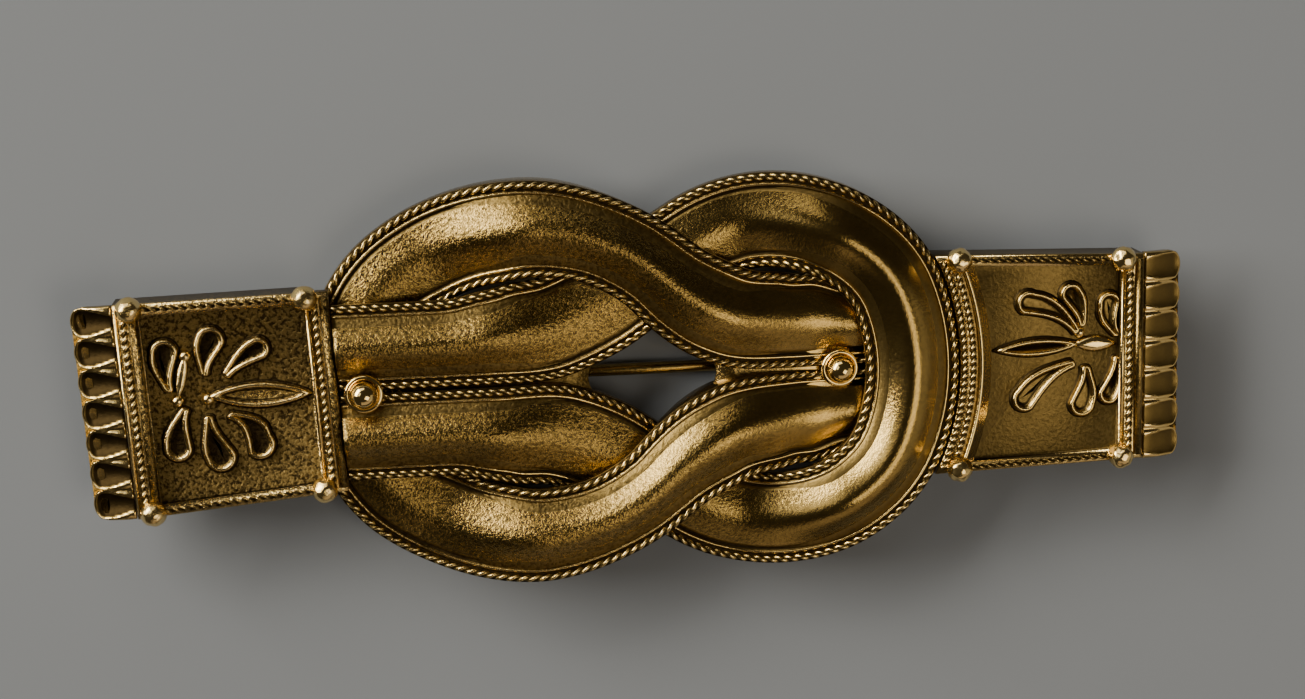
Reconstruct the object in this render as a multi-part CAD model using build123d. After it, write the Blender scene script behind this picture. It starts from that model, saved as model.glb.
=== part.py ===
"""Hercules knot brooch: two interlaced hollow bands between two palmette plaques.

All lengths are in millimetres and all angles in degrees. X runs along the brooch, Y up its face and
Z out of its front. The pieces are drawn about the middle of the knot, and are moved at the end so
that the origin is under the middle of the whole brooch, on the surface that it lies on.
"""
from build123d import *

import math
import os
from collections import namedtuple

# Heights above the surface that the pin's cross bars rest on
over_level = 4.5  # rope base line of a band where it lies over the other
under_level = 3.2  # the same line where the band dives under the other
band_back = 2.3  # back edge of the bands
plaque_back = 1.8  # back edge of the plaques

# Section of a band
band_half_width = 2.95  # middle of the band to the middle of its edge rope
strand_half_width = 2.65  # the same on the straight pair of strands
rope_radius = 0.3
rope_seam = 0.3  # flat groove between an edge rope and the bulge
bulge_height = 1.45  # crown of the convex middle over the rope base line
flat_height = 0.5  # the same where the band is pressed flat under the other
band_wall = 0.65
band_arch_drop = 0.3  # spring line of the hollow under the rope base line
crossing_skirt = 0.55  # side wall under the rope base line where a band lies over the other

# Gaps between pieces
seat_gap = 0.08  # between soldered neighbours
strand_gap = 0.2  # between the two inner ropes of a straight pair
cut_past = 1.0  # how far a cut is carried past the metal

# Middle of a straight strand from the long axis of the knot
strand_y = strand_gap / 2 + rope_radius + strand_half_width

# Plaques, each drawn about its own middle
right_end_x = 26.8  # middle of the right plaque from the middle of the knot
left_end_x = -28.48  # the left plaque's sits further out
left_end_y = -0.25
left_end_turn = 3.2  # and droops by this turn
ball_x = 5.72  # corner balls from the middle of the plaque
left_end_ball_y = (6.9, 6.54)  # at the left and the right side of the left plaque
right_end_ball_y = (7.28, 6.92)
ball_radius = 0.92
ball_lift = 0.25  # a ball's centre over the frame top
frame_margin = 0.35  # frame past the line between the corner balls
frame_wall = 0.75
frame_top = 4.7
side_rope_radius = 0.24
panel_recess = 0.6
panel_thickness = 0.45
underpass_height = 3.8  # underside of the left plaque where it bridges the left bight
underpass_length = 1.9

# Border motif of a plaque: a fine line, a rope and a plain moulding, from left to right
line_radius = 0.15
line_offset = -0.5
border_rope_radius = 0.3
moulding_radius = 0.32
moulding_offset = 0.66
left_outer_rope = -6.17  # where the rope of each motif stands on its plaque
left_inner_rope = 6.3
right_outer_rope = 6.3

# Curved border of the right plaque, three ropes that follow the bight beside it
curved_rope_radius = 0.27
curved_rope_pitch = 0.6
curved_rope_count = 3

# Palmette
wire_height = 0.4
wire_root = 0.2  # how deep the relief is sunk in the panel
wire_width = 0.36
knob_radius = 0.42  # small round knobs that the leaves spring from
leaf_root_radius = 0.36
leaf_waist = 0.4  # from the root width to the tip width, half way along a leaf

# Tongue border
tongue_count = 7
tongue_reach = 3.0  # outward run of the tongues
tongue_drop = 1.1  # how far their tips bend back
tongue_thickness = 0.7
tongue_root_depth = 0.1  # hollow of a tongue at its root
tongue_tip_depth = 0.42  # and at its tip
tip_scallop = 0.85
tongue_waste = 0.2  # extra share of the run that is cut away to shape the tips

# Knot studs and pin
stud_radius = 0.95
stud_seat = 0.55  # a stud's flat seat under its centre
stud_space = 0.73  # from a stud to the left plaque, or to the right bight
pin_radius = 0.42
pin_post_x = 26.2
pin_post_radius = 0.9
pin_bar_width = 1.8  # cross bars that the brooch lies on
pin_bar_height = 1.2
pin_bar_length = 8.0
pin_bar_round = 0.3

# Each loop's half route, from the middle of its bight to its straight strand: turns in degrees, and
# all lengths as shares of the right bight's reach from the middle of the knot
knot_reach = 17.9
strand_tuck = 1.5  # how far the left loop's strands run past the middle of the right bight
Route = namedtuple(
    "Route",
    "reach end_radius end_turn shoulder_radius shoulder_turn lobe_radius lobe_turn diagonal",
)
right_route = Route(1, 0.782, 20.5, 0.416, 27.5, 0.564, 73.3, 0.374)
left_route = Route(1.123, 0.838, 12.2, 0.441, 41.0, 0.771, 79.2, 0.022)

# Swings of a band's section along its half route. Each row eases one quantity from a start to an
# end, both shares of the route's length. rise goes from the under level (0) to the over level (1),
# outer and inner are the depths of the two side walls, from the crossing skirt (0) to the back edge
# (1), and width goes from the straight strand (0) to the full band (1). outward and inward widen one
# side alone, in rope radii, so that the two loops' ropes lie side by side where the bands part.
Swing = namedtuple("Swing", "quantity start end before after")
right_swings = (
    Swing("rise", 0.22, 0.40, 1, 0),
    Swing("rise", 0.62, 0.80, 0, 1),
    Swing("outer", 0.12, 0.24, 0, 1),
    Swing("outer", 0.64, 0.77, 1, 0),
    Swing("inner", 0.27, 0.38, 0, 1),
    Swing("inner", 0.76, 0.88, 1, 0),
    Swing("width", 0.50, 0.62, 1, 2),
    Swing("width", 0.68, 0.785, 2, 0),
    Swing("outward", 0.68, 0.75, 0, 2),
    Swing("outward", 0.77, 0.85, 2, 0),
    Swing("inward", 0, 1, 0, 0),
)
left_swings = (
    Swing("rise", 0.22, 0.39, 0, 1),
    Swing("rise", 0.66, 0.86, 1, 0),
    Swing("outer", 0.40, 0.52, 1, 0),
    Swing("outer", 0.79, 0.87, 0, 1),
    Swing("inner", 0.26, 0.38, 1, 0),
    Swing("inner", 0.60, 0.70, 0, 1),
    Swing("width", 0.38, 0.50, 1, 0.3),
    Swing("width", 0.56, 0.68, 0.3, 1.6),
    Swing("width", 0.70, 0.80, 1.6, 0),
    Swing("outward", 0.70, 0.78, 0, 2.2),
    Swing("outward", 0.82, 0.88, 2.2, 0),
    Swing("inward", 0.16, 0.24, 0, 0.8),
    Swing("inward", 0.32, 0.40, 0.8, 0),
)
section_count = 25  # sections of each half band

# Palmette leaves: root and tip as shares of the corner balls' distances from the plaque's middle,
# bow of the leaf to its left as a share of its length, and width as a share of the balls' X distance
Leaf = namedtuple("Leaf", "root_x root_y tip_x tip_y bow width")
left_leaves = (
    Leaf(-0.66, 0.17, -0.68, 0.70, 0.06, 0.30),
    Leaf(-0.24, 0.30, -0.09, 0.78, 0.05, 0.31),
    Leaf(0.00, 0.27, 0.52, 0.58, 0.05, 0.26),
    Leaf(-0.50, -0.02, -0.69, -0.55, -0.06, 0.31),
    Leaf(-0.25, -0.12, -0.13, -0.70, -0.05, 0.33),
    Leaf(-0.01, -0.13, 0.42, -0.58, 0.14, 0.33),
)
left_spindle = Leaf(-0.24, 0.08, 0.97, 0.07, 0.0, 0.33)
left_stem = Leaf(-0.58, 0.06, -0.42, 0.56, 0.0, 0.13)
left_knobs = ((-0.23, 0.05), (-0.58, 0.06))
right_leaves = (
    Leaf(0.47, 0.26, -0.26, 0.64, -0.10, 0.26),
    Leaf(0.53, 0.38, 0.35, 0.75, -0.06, 0.22),
    Leaf(0.97, 0.22, 0.83, 0.65, 0.10, 0.25),
    Leaf(0.44, -0.07, -0.31, -0.45, -0.08, 0.26),
    Leaf(0.58, -0.11, 0.52, -0.58, 0.06, 0.26),
    Leaf(0.97, 0.00, 0.84, -0.47, 0.06, 0.22),
)
right_spindle = Leaf(0.51, 0.15, -0.55, 0.11, 0.0, 0.22)
right_stem = Leaf(0.97, 0.14, 0.42, 0.14, 0.0, 0.20)
right_knobs = ((0.50, 0.26),)

# Where the left loop's strands end, from the middle of the knot
left_strand_end = knot_reach + strand_tuck

Stretch = namedtuple("Stretch", "place heading length turn")


def part_way(stretch, share):
    """Point and heading a share of the way along a straight or round stretch."""
    heading = math.radians(stretch.heading)
    turn = math.radians(stretch.turn) * share
    if stretch.turn == 0:
        step = Vector(math.cos(heading), math.sin(heading)) * stretch.length * share
        return stretch.place + step, stretch.heading
    radius = stretch.length / math.radians(stretch.turn)
    step = Vector(
        math.sin(heading + turn) - math.sin(heading),
        math.cos(heading) - math.cos(heading + turn),
    )
    return stretch.place + step * radius, stretch.heading + math.degrees(turn)


def half_route(route, strand_end):
    """Stretches of a half route: three left arcs, a straight diagonal, a right arc and the strand."""
    stretches = []
    place, heading = Vector(route.reach * knot_reach, 0), 90

    def add(length, turn):
        nonlocal place, heading
        stretches.append(Stretch(place, heading, length, turn))
        place, heading = part_way(stretches[-1], 1)

    def add_arc(radius, turn):
        add(radius * knot_reach * math.radians(turn), turn)

    add_arc(route.end_radius, route.end_turn)
    add_arc(route.shoulder_radius, route.shoulder_turn)
    add_arc(route.lobe_radius, route.lobe_turn)
    add(route.diagonal * knot_reach, 0)
    turn_back = heading - 180
    radius = (place.Y - strand_y) / (1 - math.cos(math.radians(turn_back)))
    add(radius * math.radians(turn_back), -turn_back)
    add(place.X + strand_end, 0)
    return stretches


def at_share(stretches, share):
    """Point and heading at a share of a whole half route."""
    left = share * sum(abs(stretch.length) for stretch in stretches)
    for stretch in stretches[:-1]:
        if left <= abs(stretch.length):
            return part_way(stretch, left / abs(stretch.length))
        left -= abs(stretch.length)
    return part_way(stretches[-1], min(left / stretches[-1].length, 1))


def between(low, high, share):
    return low + (high - low) * share


def swung(swings, quantity, share):
    """A quantity's value at a share of the route: it rests between its swings."""
    rows = [swing for swing in swings if swing.quantity == quantity]
    value = rows[0].before
    for swing in rows:
        way = min(max((share - swing.start) / (swing.end - swing.start), 0), 1)
        value = between(value, swing.after, way * way * (3 - 2 * way))
    return value


def band_section(stretches, swings, share, slant):
    """Closed outline of a hollow band: side walls, edge ropes, seams, bulge and the hollow behind."""
    place, heading = at_share(stretches, share)
    angle = math.radians(heading + slant)
    rise = swung(swings, "rise", share)
    level = between(under_level, over_level, rise)
    bulge = between(flat_height, bulge_height, rise)
    outward = swung(swings, "outward", share) * rope_radius
    inward = swung(swings, "inward", share) * rope_radius
    shift = (outward - inward) / 2
    half = between(strand_half_width, band_half_width, swung(swings, "width", share))
    half += (outward + inward) / 2
    outer_edge = between(level - crossing_skirt, band_back, swung(swings, "outer", share))
    inner_edge = between(level - crossing_skirt, band_back, swung(swings, "inner", share))
    side = half + rope_radius
    seam = half - rope_radius - rope_seam
    spring = level - band_arch_drop

    def point(across, height):
        step = Vector(math.sin(angle), -math.cos(angle)) * (across + shift)
        return place + step + Vector(0, 0, height)

    outline = [
        Edge.make_line(point(side, outer_edge), point(side, level)),
        Edge.make_three_point_arc(
            point(side, level), point(half, level + rope_radius), point(half - rope_radius, level)
        ),
        Edge.make_line(point(half - rope_radius, level), point(seam, level)),
        Edge.make_three_point_arc(point(seam, level), point(0, level + bulge), point(-seam, level)),
        Edge.make_line(point(-seam, level), point(rope_radius - half, level)),
        Edge.make_three_point_arc(
            point(rope_radius - half, level), point(-half, level + rope_radius), point(-side, level)
        ),
        Edge.make_line(point(-side, level), point(-side, inner_edge)),
        Edge.make_line(point(-side, inner_edge), point(band_wall - side, inner_edge)),
        Edge.make_line(point(band_wall - side, inner_edge), point(band_wall - side, spring)),
        Edge.make_three_point_arc(
            point(band_wall - side, spring),
            point(0, level + bulge - band_wall),
            point(side - band_wall, spring),
        ),
        Edge.make_line(point(side - band_wall, spring), point(side - band_wall, outer_edge)),
        Edge.make_line(point(side - band_wall, outer_edge), point(side, outer_edge)),
    ]
    return Wire(outline)


def half_band(route, swings, strand_end, slant=0):
    """The half of a loop that lies over Y = 0 about the +X side, its strand cut off at a slant."""
    stretches = half_route(route, strand_end)
    shares = [index / (section_count - 1) for index in range(section_count)]
    sections = [band_section(stretches, swings, share, 0) for share in shares[:-1]]
    sections.append(band_section(stretches, swings, 1, slant))
    return Solid.make_loft(sections)


def left_loop():
    """The loop whose bight lies under, its strands cut off square under the right bight."""
    half = half_band(left_route, left_swings, left_strand_end)
    return (half + half.mirror(Plane.XZ)).mirror(Plane.YZ)


def right_strand_end(y):
    """Distance from the middle of the knot to the left plaque's inner edge, less a seat gap."""
    inner_edge = left_inner_rope + moulding_offset + moulding_radius + seat_gap
    edge_middle = left_end(Location((inner_edge, 0, 0))).position
    return (y - edge_middle.Y) * math.tan(math.radians(left_end_turn)) - edge_middle.X


def right_loop():
    """The loop whose bight lies over, its strands cut off along the left plaque's inner edge."""
    upper = half_band(right_route, right_swings, right_strand_end(strand_y), left_end_turn)
    lower = half_band(right_route, right_swings, right_strand_end(-strand_y), -left_end_turn)
    return upper + lower.mirror(Plane.XZ)


def left_end(shape):
    """Moves a piece drawn about the left plaque's middle to its askew place."""
    return Location((left_end_x, left_end_y, 0), (0, 0, left_end_turn)) * shape


def right_end(shape):
    """Moves a piece drawn about the right plaque's middle to its place."""
    return Location((right_end_x, 0, 0)) * shape


def block(x_low, x_high, y_half, z_low, z_high):
    """A block between two X values and two heights, as wide each side of Y = 0."""
    middle = Location(((x_low + x_high) / 2, 0, (z_low + z_high) / 2))
    return middle * Box(x_high - x_low, 2 * y_half, z_high - z_low)


def ridge(start, end, radius):
    """A half-round ridge along a straight line on the frame top, with its lower half sunk in."""
    direction = Vector(*end) - Vector(*start)
    plane = Plane(origin=start, z_dir=direction)
    return extrude(plane * Circle(radius), direction.length)


def leaf_ends(leaf, ball_y):
    """Root and tip of a leaf on a plaque whose corner balls have this mean distance."""
    root = Vector(leaf.root_x * ball_x, leaf.root_y * ball_y)
    tip = Vector(leaf.tip_x * ball_x, leaf.tip_y * ball_y)
    return root, tip


def leaf_outline(leaf, ball_y, shrink):
    """Flat outline of one leaf, a narrow root and a round end, or the same shrunk all round."""
    root, tip = leaf_ends(leaf, ball_y)
    length = (tip - root).length
    along = (tip - root) / length
    across = Vector(-along.Y, along.X)
    end_radius = leaf.width * ball_x / 2
    middle = tip - along * end_radius
    tip_width = end_radius - shrink
    root_width = leaf_root_radius - shrink / 2
    bow = across * leaf.bow * length
    upper_root, lower_root = root + across * root_width, root - across * root_width
    upper_end, lower_end = middle + across * tip_width, middle - across * tip_width
    waist = between(root_width, tip_width, leaf_waist)
    half_way = root + (middle - root) / 2 + bow
    outline = [
        Edge.make_three_point_arc(upper_root, half_way + across * waist, upper_end),
        Edge.make_three_point_arc(upper_end, middle + along * tip_width, lower_end),
        Edge.make_three_point_arc(lower_end, half_way - across * waist, lower_root),
        Edge.make_three_point_arc(lower_root, root - along * root_width, upper_root),
    ]
    return Face(Wire(outline))


def spindle_outline(leaf, ball_y, shrink):
    """Flat outline of the long leaf: two bowed sides between two points."""
    root, tip = leaf_ends(leaf, ball_y)
    along = (tip - root).normalized()
    across = Vector(-along.Y, along.X)
    root, tip = root + along * 2 * shrink, tip - along * 2 * shrink
    widest = root + (tip - root) / 2
    reach = across * (leaf.width * ball_x / 2 - shrink)
    sides = [
        Edge.make_three_point_arc(root, widest + reach, tip),
        Edge.make_three_point_arc(tip, widest - reach, root),
    ]
    return Face(Wire(sides))


def palmette(leaves, spindle, stem, knobs, ball_y):
    """Raised wire outlines of six leaves and a long leaf, with a solid stem and round knobs."""
    panel_top = frame_top - panel_recess
    base = Location((0, 0, panel_top - wire_root))
    faces = [leaf_outline(leaf, ball_y, 0) - leaf_outline(leaf, ball_y, wire_width) for leaf in leaves]
    faces.append(spindle_outline(spindle, ball_y, 0) - spindle_outline(spindle, ball_y, wire_width))
    faces.append(spindle_outline(stem, ball_y, 0))
    faces += [Location((x * ball_x, y * ball_y, 0)) * Circle(knob_radius) for x, y in knobs]
    return [extrude(base * face, wire_height + wire_root, dir=(0, 0, 1)) for face in faces]


def half_height(ball_ys, x):
    """Distance from the long axis to the line between the corner balls, at an X on the plaque."""
    return between(ball_ys[0], ball_ys[1], (x + ball_x) / (2 * ball_x))


def tray(outline, panel):
    """A plaque's shell, open behind: walls, a recessed panel and a raised frame round it."""
    panel_top = frame_top - panel_recess
    low_room = panel_top - panel_thickness
    up = (0, 0, 1)
    shell = extrude(Location((0, 0, plaque_back)) * outline, frame_top - plaque_back, dir=up)
    hollow = offset(outline, -frame_wall, kind=Kind.INTERSECTION)
    hollow_depth = low_room - plaque_back + cut_past
    shell -= extrude(Location((0, 0, plaque_back - cut_past)) * hollow, hollow_depth, dir=up)
    shell -= extrude(Location((0, 0, panel_top)) * panel, panel_recess + cut_past, dir=up)
    return shell


def straight_border(rope_x, ball_ys):
    """Border motif along Y: a fine line, a rope and a plain moulding."""
    rows = ((line_offset, line_radius), (0, border_rope_radius), (moulding_offset, moulding_radius))
    ridges = []
    for offset_x, radius in rows:
        x = rope_x + offset_x
        y = half_height(ball_ys, x)
        ridges.append(ridge((x, -y, frame_top), (x, y, frame_top), radius))
    return ridges


def side_ropes(ball_ys):
    """Thin ropes along the top and the bottom wall of a plaque."""
    inset = frame_margin - frame_wall / 2
    left, right = ball_ys[0] + inset, ball_ys[1] + inset
    return [
        ridge((-ball_x, side * left, frame_top), (ball_x, side * right, frame_top), side_rope_radius)
        for side in (-1, 1)
    ]


def corner_balls(ball_ys):
    """Four balls over the corners of a frame."""
    return [
        Location((x, side * half_height(ball_ys, x), frame_top + ball_lift)) * Sphere(ball_radius)
        for x in (-ball_x, ball_x)
        for side in (-1, 1)
    ]


def left_plaque():
    """Plaque with straight borders at both ends, bridging the left bight at its inner end."""
    ball_ys = left_end_ball_y
    outer = left_outer_rope + line_offset - line_radius
    inner = left_inner_rope + moulding_offset + moulding_radius
    outline = four_sided(outer, inner, ball_ys, frame_margin)
    panel_left = left_outer_rope + moulding_offset + moulding_radius
    panel_right = left_inner_rope + line_offset - line_radius
    plaque = tray(outline, four_sided(panel_left, panel_right, ball_ys, frame_margin - frame_wall))
    far = inner + cut_past
    plaque -= block(inner - underpass_length, far, 2 * max(ball_ys), 0, underpass_height)
    added = straight_border(left_outer_rope, ball_ys) + straight_border(left_inner_rope, ball_ys)
    added += corner_balls(ball_ys) + side_ropes(ball_ys)
    added += palmette(left_leaves, left_spindle, left_stem, left_knobs, sum(ball_ys) / 2)
    return left_end(plaque.fuse(*added))


def corners(x_low, x_high, ball_ys, margin):
    """The two lower and the two upper corners between two X values, a margin past the ball line."""
    low, high = half_height(ball_ys, x_low) + margin, half_height(ball_ys, x_high) + margin
    return [(x_low, -low), (x_high, -high), (x_high, high), (x_low, low)]


def four_sided(x_low, x_high, ball_ys, margin):
    return Face(Wire.make_polygon(corners(x_low, x_high, ball_ys, margin)))


def round_edge_outline(radius, x_high, ball_ys, margin):
    """The same with an arc for a left side, about the right bight's own centre."""
    centre = knot_reach * (1 - right_route.end_radius) - right_end_x
    x_corner = centre + math.sqrt(radius**2 - (ball_ys[0] + margin) ** 2)
    points = corners(x_corner, x_high, ball_ys, margin)
    side = Edge.make_three_point_arc(points[3], (centre + radius, 0), points[0])
    edges = [side] + [Edge.make_line(a, b) for a, b in zip(points, points[1:])]
    return Face(Wire(edges))


def curved_ropes(first_radius, ball_y):
    """Ropes that follow the right bight, side by side, from one corner ball to the other."""
    centre = Vector(knot_reach * (1 - right_route.end_radius) - right_end_x, 0, frame_top)
    ropes = []
    for index in range(curved_rope_count):
        radius = first_radius + curved_rope_pitch * index
        reach = math.degrees(math.asin(ball_y / radius))
        start = centre + Vector(radius, 0).rotate(Axis.Z, -reach)
        circle = Location(start, (0, 0, -reach)) * Rot(90, 0, 0) * Circle(curved_rope_radius)
        ropes.append(revolve(circle, Axis(centre, (0, 0, 1)), 2 * reach))
    return ropes


def right_plaque():
    """Plaque with a straight border at its outer end and ropes along the bight at its inner end."""
    ball_ys = right_end_ball_y
    bight_radius = right_route.end_radius * knot_reach + band_half_width + rope_radius + seat_gap
    outer = right_outer_rope + moulding_offset + moulding_radius
    outline = round_edge_outline(bight_radius, outer, ball_ys, frame_margin)
    first_rope = bight_radius + curved_rope_radius
    panel_radius = first_rope + curved_rope_pitch * curved_rope_count
    panel_right = right_outer_rope + line_offset - line_radius
    panel = round_edge_outline(panel_radius, panel_right, ball_ys, frame_margin - frame_wall)
    added = straight_border(right_outer_rope, ball_ys) + curved_ropes(first_rope, ball_ys[0])
    added += corner_balls(ball_ys) + side_ropes(ball_ys)
    added += palmette(right_leaves, right_spindle, right_stem, right_knobs, sum(ball_ys) / 2)
    return right_end(tray(outline, panel).fuse(*added))


def tongue_section(share, start_x, half_width):
    """Section of the tongue border at a share of its run: a row of hollow flutes."""
    lean = math.atan2(2 * tongue_drop * share, tongue_reach)
    level = frame_top - tongue_thickness / 2 - tongue_drop * share**2
    middle = Vector(start_x + tongue_reach * share, 0, level)
    outward = Vector(math.sin(lean), 0, math.cos(lean))
    depth = between(tongue_root_depth, tongue_tip_depth, share)
    pitch = 2 * half_width / tongue_count

    def point(y, height):
        return middle + Vector(0, y, 0) + outward * height

    top, bottom = tongue_thickness / 2, -tongue_thickness / 2
    edges = [Edge.make_line(point(half_width, bottom), point(-half_width, bottom))]
    edges.append(Edge.make_line(point(-half_width, bottom), point(-half_width, top)))
    for index in range(tongue_count):
        low = pitch * index - half_width
        high = low + pitch
        hollow = point((low + high) / 2, top - depth)
        edges.append(Edge.make_three_point_arc(point(low, top), hollow, point(high, top)))
    edges.append(Edge.make_line(point(half_width, top), point(half_width, bottom)))
    return Wire(edges)


def tongue_border(start_x, half_width):
    """A fluted apron that bends back a little, its free edge scalloped into tongue tips."""
    longest = 1 + tongue_waste
    apron = Solid.make_loft(
        [tongue_section(share * longest, start_x, half_width) for share in (0, 0.25, 0.5, 0.75, 1)]
    )
    tip_x = start_x + tongue_reach
    between_x = tip_x - tip_scallop
    beyond_x = tip_x + tongue_reach
    pitch = 2 * half_width / tongue_count
    edges = [
        Edge.make_line((between_x, half_width), (beyond_x, half_width)),
        Edge.make_line((beyond_x, half_width), (beyond_x, -half_width)),
        Edge.make_line((beyond_x, -half_width), (between_x, -half_width)),
    ]
    for index in range(tongue_count):
        low = pitch * index - half_width
        ends = (between_x, low), (tip_x, low + pitch / 2), (between_x, low + pitch)
        edges.append(Edge.make_three_point_arc(*ends))
    return apron - extrude(Face(Wire(edges)), 2 * frame_top, dir=(0, 0, 1))


def knot_stud(x, y, rope_level):
    """A ball with a flat seat that stands on the two ropes in the middle of the knot."""
    seat = rope_level + rope_radius + seat_gap
    ball = Location((x, y, seat + stud_seat)) * Sphere(stud_radius)
    keep = Location((x, y, seat + stud_radius)) * Box(*[2 * stud_radius] * 3)
    return ball & keep


def pin():
    """The stem behind the knot, with a cross bar and a post behind each plaque, one plain piece."""
    panel_back = frame_top - panel_recess - panel_thickness
    stem_level = pin_bar_height / 2
    post_height = panel_back - seat_gap - stem_level
    stem = Location((-pin_post_x, 0, stem_level), (0, 90, 0)) * Cylinder(
        pin_radius, 2 * pin_post_x, align=(Align.CENTER, Align.CENTER, Align.MIN)
    )
    post = Cylinder(pin_post_radius, post_height, align=(Align.CENTER, Align.CENTER, Align.MIN))
    bar = fillet(
        Box(pin_bar_width, pin_bar_length, pin_bar_height).edges().filter_by(Axis.Z), pin_bar_round
    )
    ends = [Location((x, 0, stem_level)) * (post + bar) for x in (-pin_post_x, pin_post_x)]
    return stem.fuse(*ends)


def strand_level(route, swings, strand_end, x):
    """Rope base line of a straight strand at a distance from the middle of the knot."""
    length = sum(abs(stretch.length) for stretch in half_route(route, strand_end))
    share = 1 - (strand_end - x) / length
    return between(under_level, over_level, swung(swings, "rise", share))


def knot_and_ends():
    """Every piece by its name, about the middle of the knot."""
    left_outer = left_outer_rope + line_offset - line_radius
    right_outer = right_outer_rope + moulding_offset + moulding_radius
    left_border = tongue_border(seat_gap - left_outer, left_end_ball_y[0] + frame_margin)
    right_border = tongue_border(right_outer + seat_gap, right_end_ball_y[1] + frame_margin)
    stud_step = stud_space + stud_radius
    left_reach = right_strand_end(0) + seat_gap - stud_step
    right_reach = knot_reach - band_half_width - rope_radius - stud_step
    left_level = strand_level(right_route, right_swings, right_strand_end(strand_y), left_reach)
    right_level = strand_level(left_route, left_swings, left_strand_end, right_reach)
    return {
        "left_loop": left_loop(),
        "right_loop": right_loop(),
        "left_plaque": left_plaque(),
        "right_plaque": right_plaque(),
        "left_tongue_border": left_end(left_border.mirror(Plane.YZ)),
        "right_tongue_border": right_end(right_border),
        "left_knot_stud": knot_stud(-left_reach, 0, left_level),
        "right_knot_stud": knot_stud(right_reach, 0, right_level),
        "pin": pin(),
    }


def main():
    pieces = knot_and_ends()
    boxes = [piece.bounding_box() for piece in pieces.values()]
    low = [min(tuple(box.min)[axis] for box in boxes) for axis in range(3)]
    high = [max(tuple(box.max)[axis] for box in boxes) for axis in range(3)]
    middle = Vector((low[0] + high[0]) / 2, (low[1] + high[1]) / 2, low[2])
    os.makedirs("parts", exist_ok=True)
    for name, piece in pieces.items():
        export_step(Location(-middle) * piece, f"parts/{name}.step")
        print(name, round(piece.volume, 1), "mm3")
    print("middle of the knot", -middle, "size", [b - a for a, b in zip(low, high)])


main()
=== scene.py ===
"""Dresses the hercules knot brooch: twisted ropes, cast relief, fluted tongues and worn gold plate with
painted light.

Shapes are drawn in millimetres about the middle of the knot, and are scaled and moved to the brooch's
own place when a piece is finished.
"""

import math
from collections import namedtuple
from types import SimpleNamespace

import bmesh
import bpy
from mathutils import Matrix, Vector, noise


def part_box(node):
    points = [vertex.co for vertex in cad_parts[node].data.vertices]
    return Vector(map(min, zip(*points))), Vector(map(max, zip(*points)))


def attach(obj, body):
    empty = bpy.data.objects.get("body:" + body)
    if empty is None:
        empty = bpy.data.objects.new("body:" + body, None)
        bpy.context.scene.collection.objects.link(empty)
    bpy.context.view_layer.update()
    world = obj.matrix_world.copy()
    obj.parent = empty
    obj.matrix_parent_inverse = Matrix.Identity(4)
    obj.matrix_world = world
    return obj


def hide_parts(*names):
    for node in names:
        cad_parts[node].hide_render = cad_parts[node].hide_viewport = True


bl_info = {
    "name": "Hercules knot brooch",
    "version": (1, 0, 0),
    "blender": (4, 5, 0),
    "location": "View3D > Sidebar > Brooch",
    "description": "Builds the knot, plaques, tongues, studs and pin of a gold-plated brooch",
    "category": "Object",
}

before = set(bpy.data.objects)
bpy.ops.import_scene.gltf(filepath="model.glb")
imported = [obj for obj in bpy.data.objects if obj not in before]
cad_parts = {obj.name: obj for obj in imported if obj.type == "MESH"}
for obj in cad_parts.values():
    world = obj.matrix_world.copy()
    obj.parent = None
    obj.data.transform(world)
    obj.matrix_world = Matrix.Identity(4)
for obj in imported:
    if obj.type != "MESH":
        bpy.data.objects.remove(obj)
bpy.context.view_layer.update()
MM = 0.001

KNOT = (0.77655, 0.0, 0.0)  # middle of the knot from the middle of the brooch
OVER_LEVEL = 4.5  # rope base line of a band where it lies over the other
UNDER_LEVEL = 3.2
BAND_BACK = 2.3  # lower edge of a band's side walls where they are deepest
PLAQUE_BACK = 1.8
FRAME_TOP = 4.7
SEAT_GAP = 0.08  # between pieces that are soldered together on the real brooch
MERGE_DISTANCE = 0.0005


# Settings


def hex_colour(code):
    """Linear colour of an sRGB hex code."""

    def linear(value):
        return value / 12.92 if value <= 0.04045 else ((value + 0.055) / 1.055) ** 2.4

    return tuple(linear(int(code[place : place + 2], 16) / 255) for place in (1, 3, 5))


def length(name, description, millimetres):
    return bpy.props.FloatProperty(
        name=name, description=description, default=millimetres * MM, unit="LENGTH", precision=5
    )


def colour(name, description, code):
    return bpy.props.FloatVectorProperty(
        name=name, description=description, default=hex_colour(code), subtype="COLOR", min=0, max=1
    )


def power(name, description, watts):
    return bpy.props.FloatProperty(name=name, description=description, default=watts, unit="POWER")


class BroochBandSettings(bpy.types.PropertyGroup):
    band_half_width: length("Band half width", "Middle of a full band to its edge rope", 2.95)
    strand_half_width: length("Strand half width", "The same on the straight strands", 2.65)
    rope_radius: length("Rope radius", "Half the thickness of the twisted edge ropes", 0.26)
    rope_pitch: length("Rope pitch", "From one lobe of the twist to the next", 0.72)
    bulge_height: length("Bulge height", "Crown of the convex middle over the ropes", 1.22)
    flat_height: length("Flat height", "The same where the band is pressed under the other", 0.5)
    wall: length("Wall", "Thickness of the cast band", 0.65)
    strand_gap: length("Strand gap", "Between the two ropes in the middle of the strands", 0.2)


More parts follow.
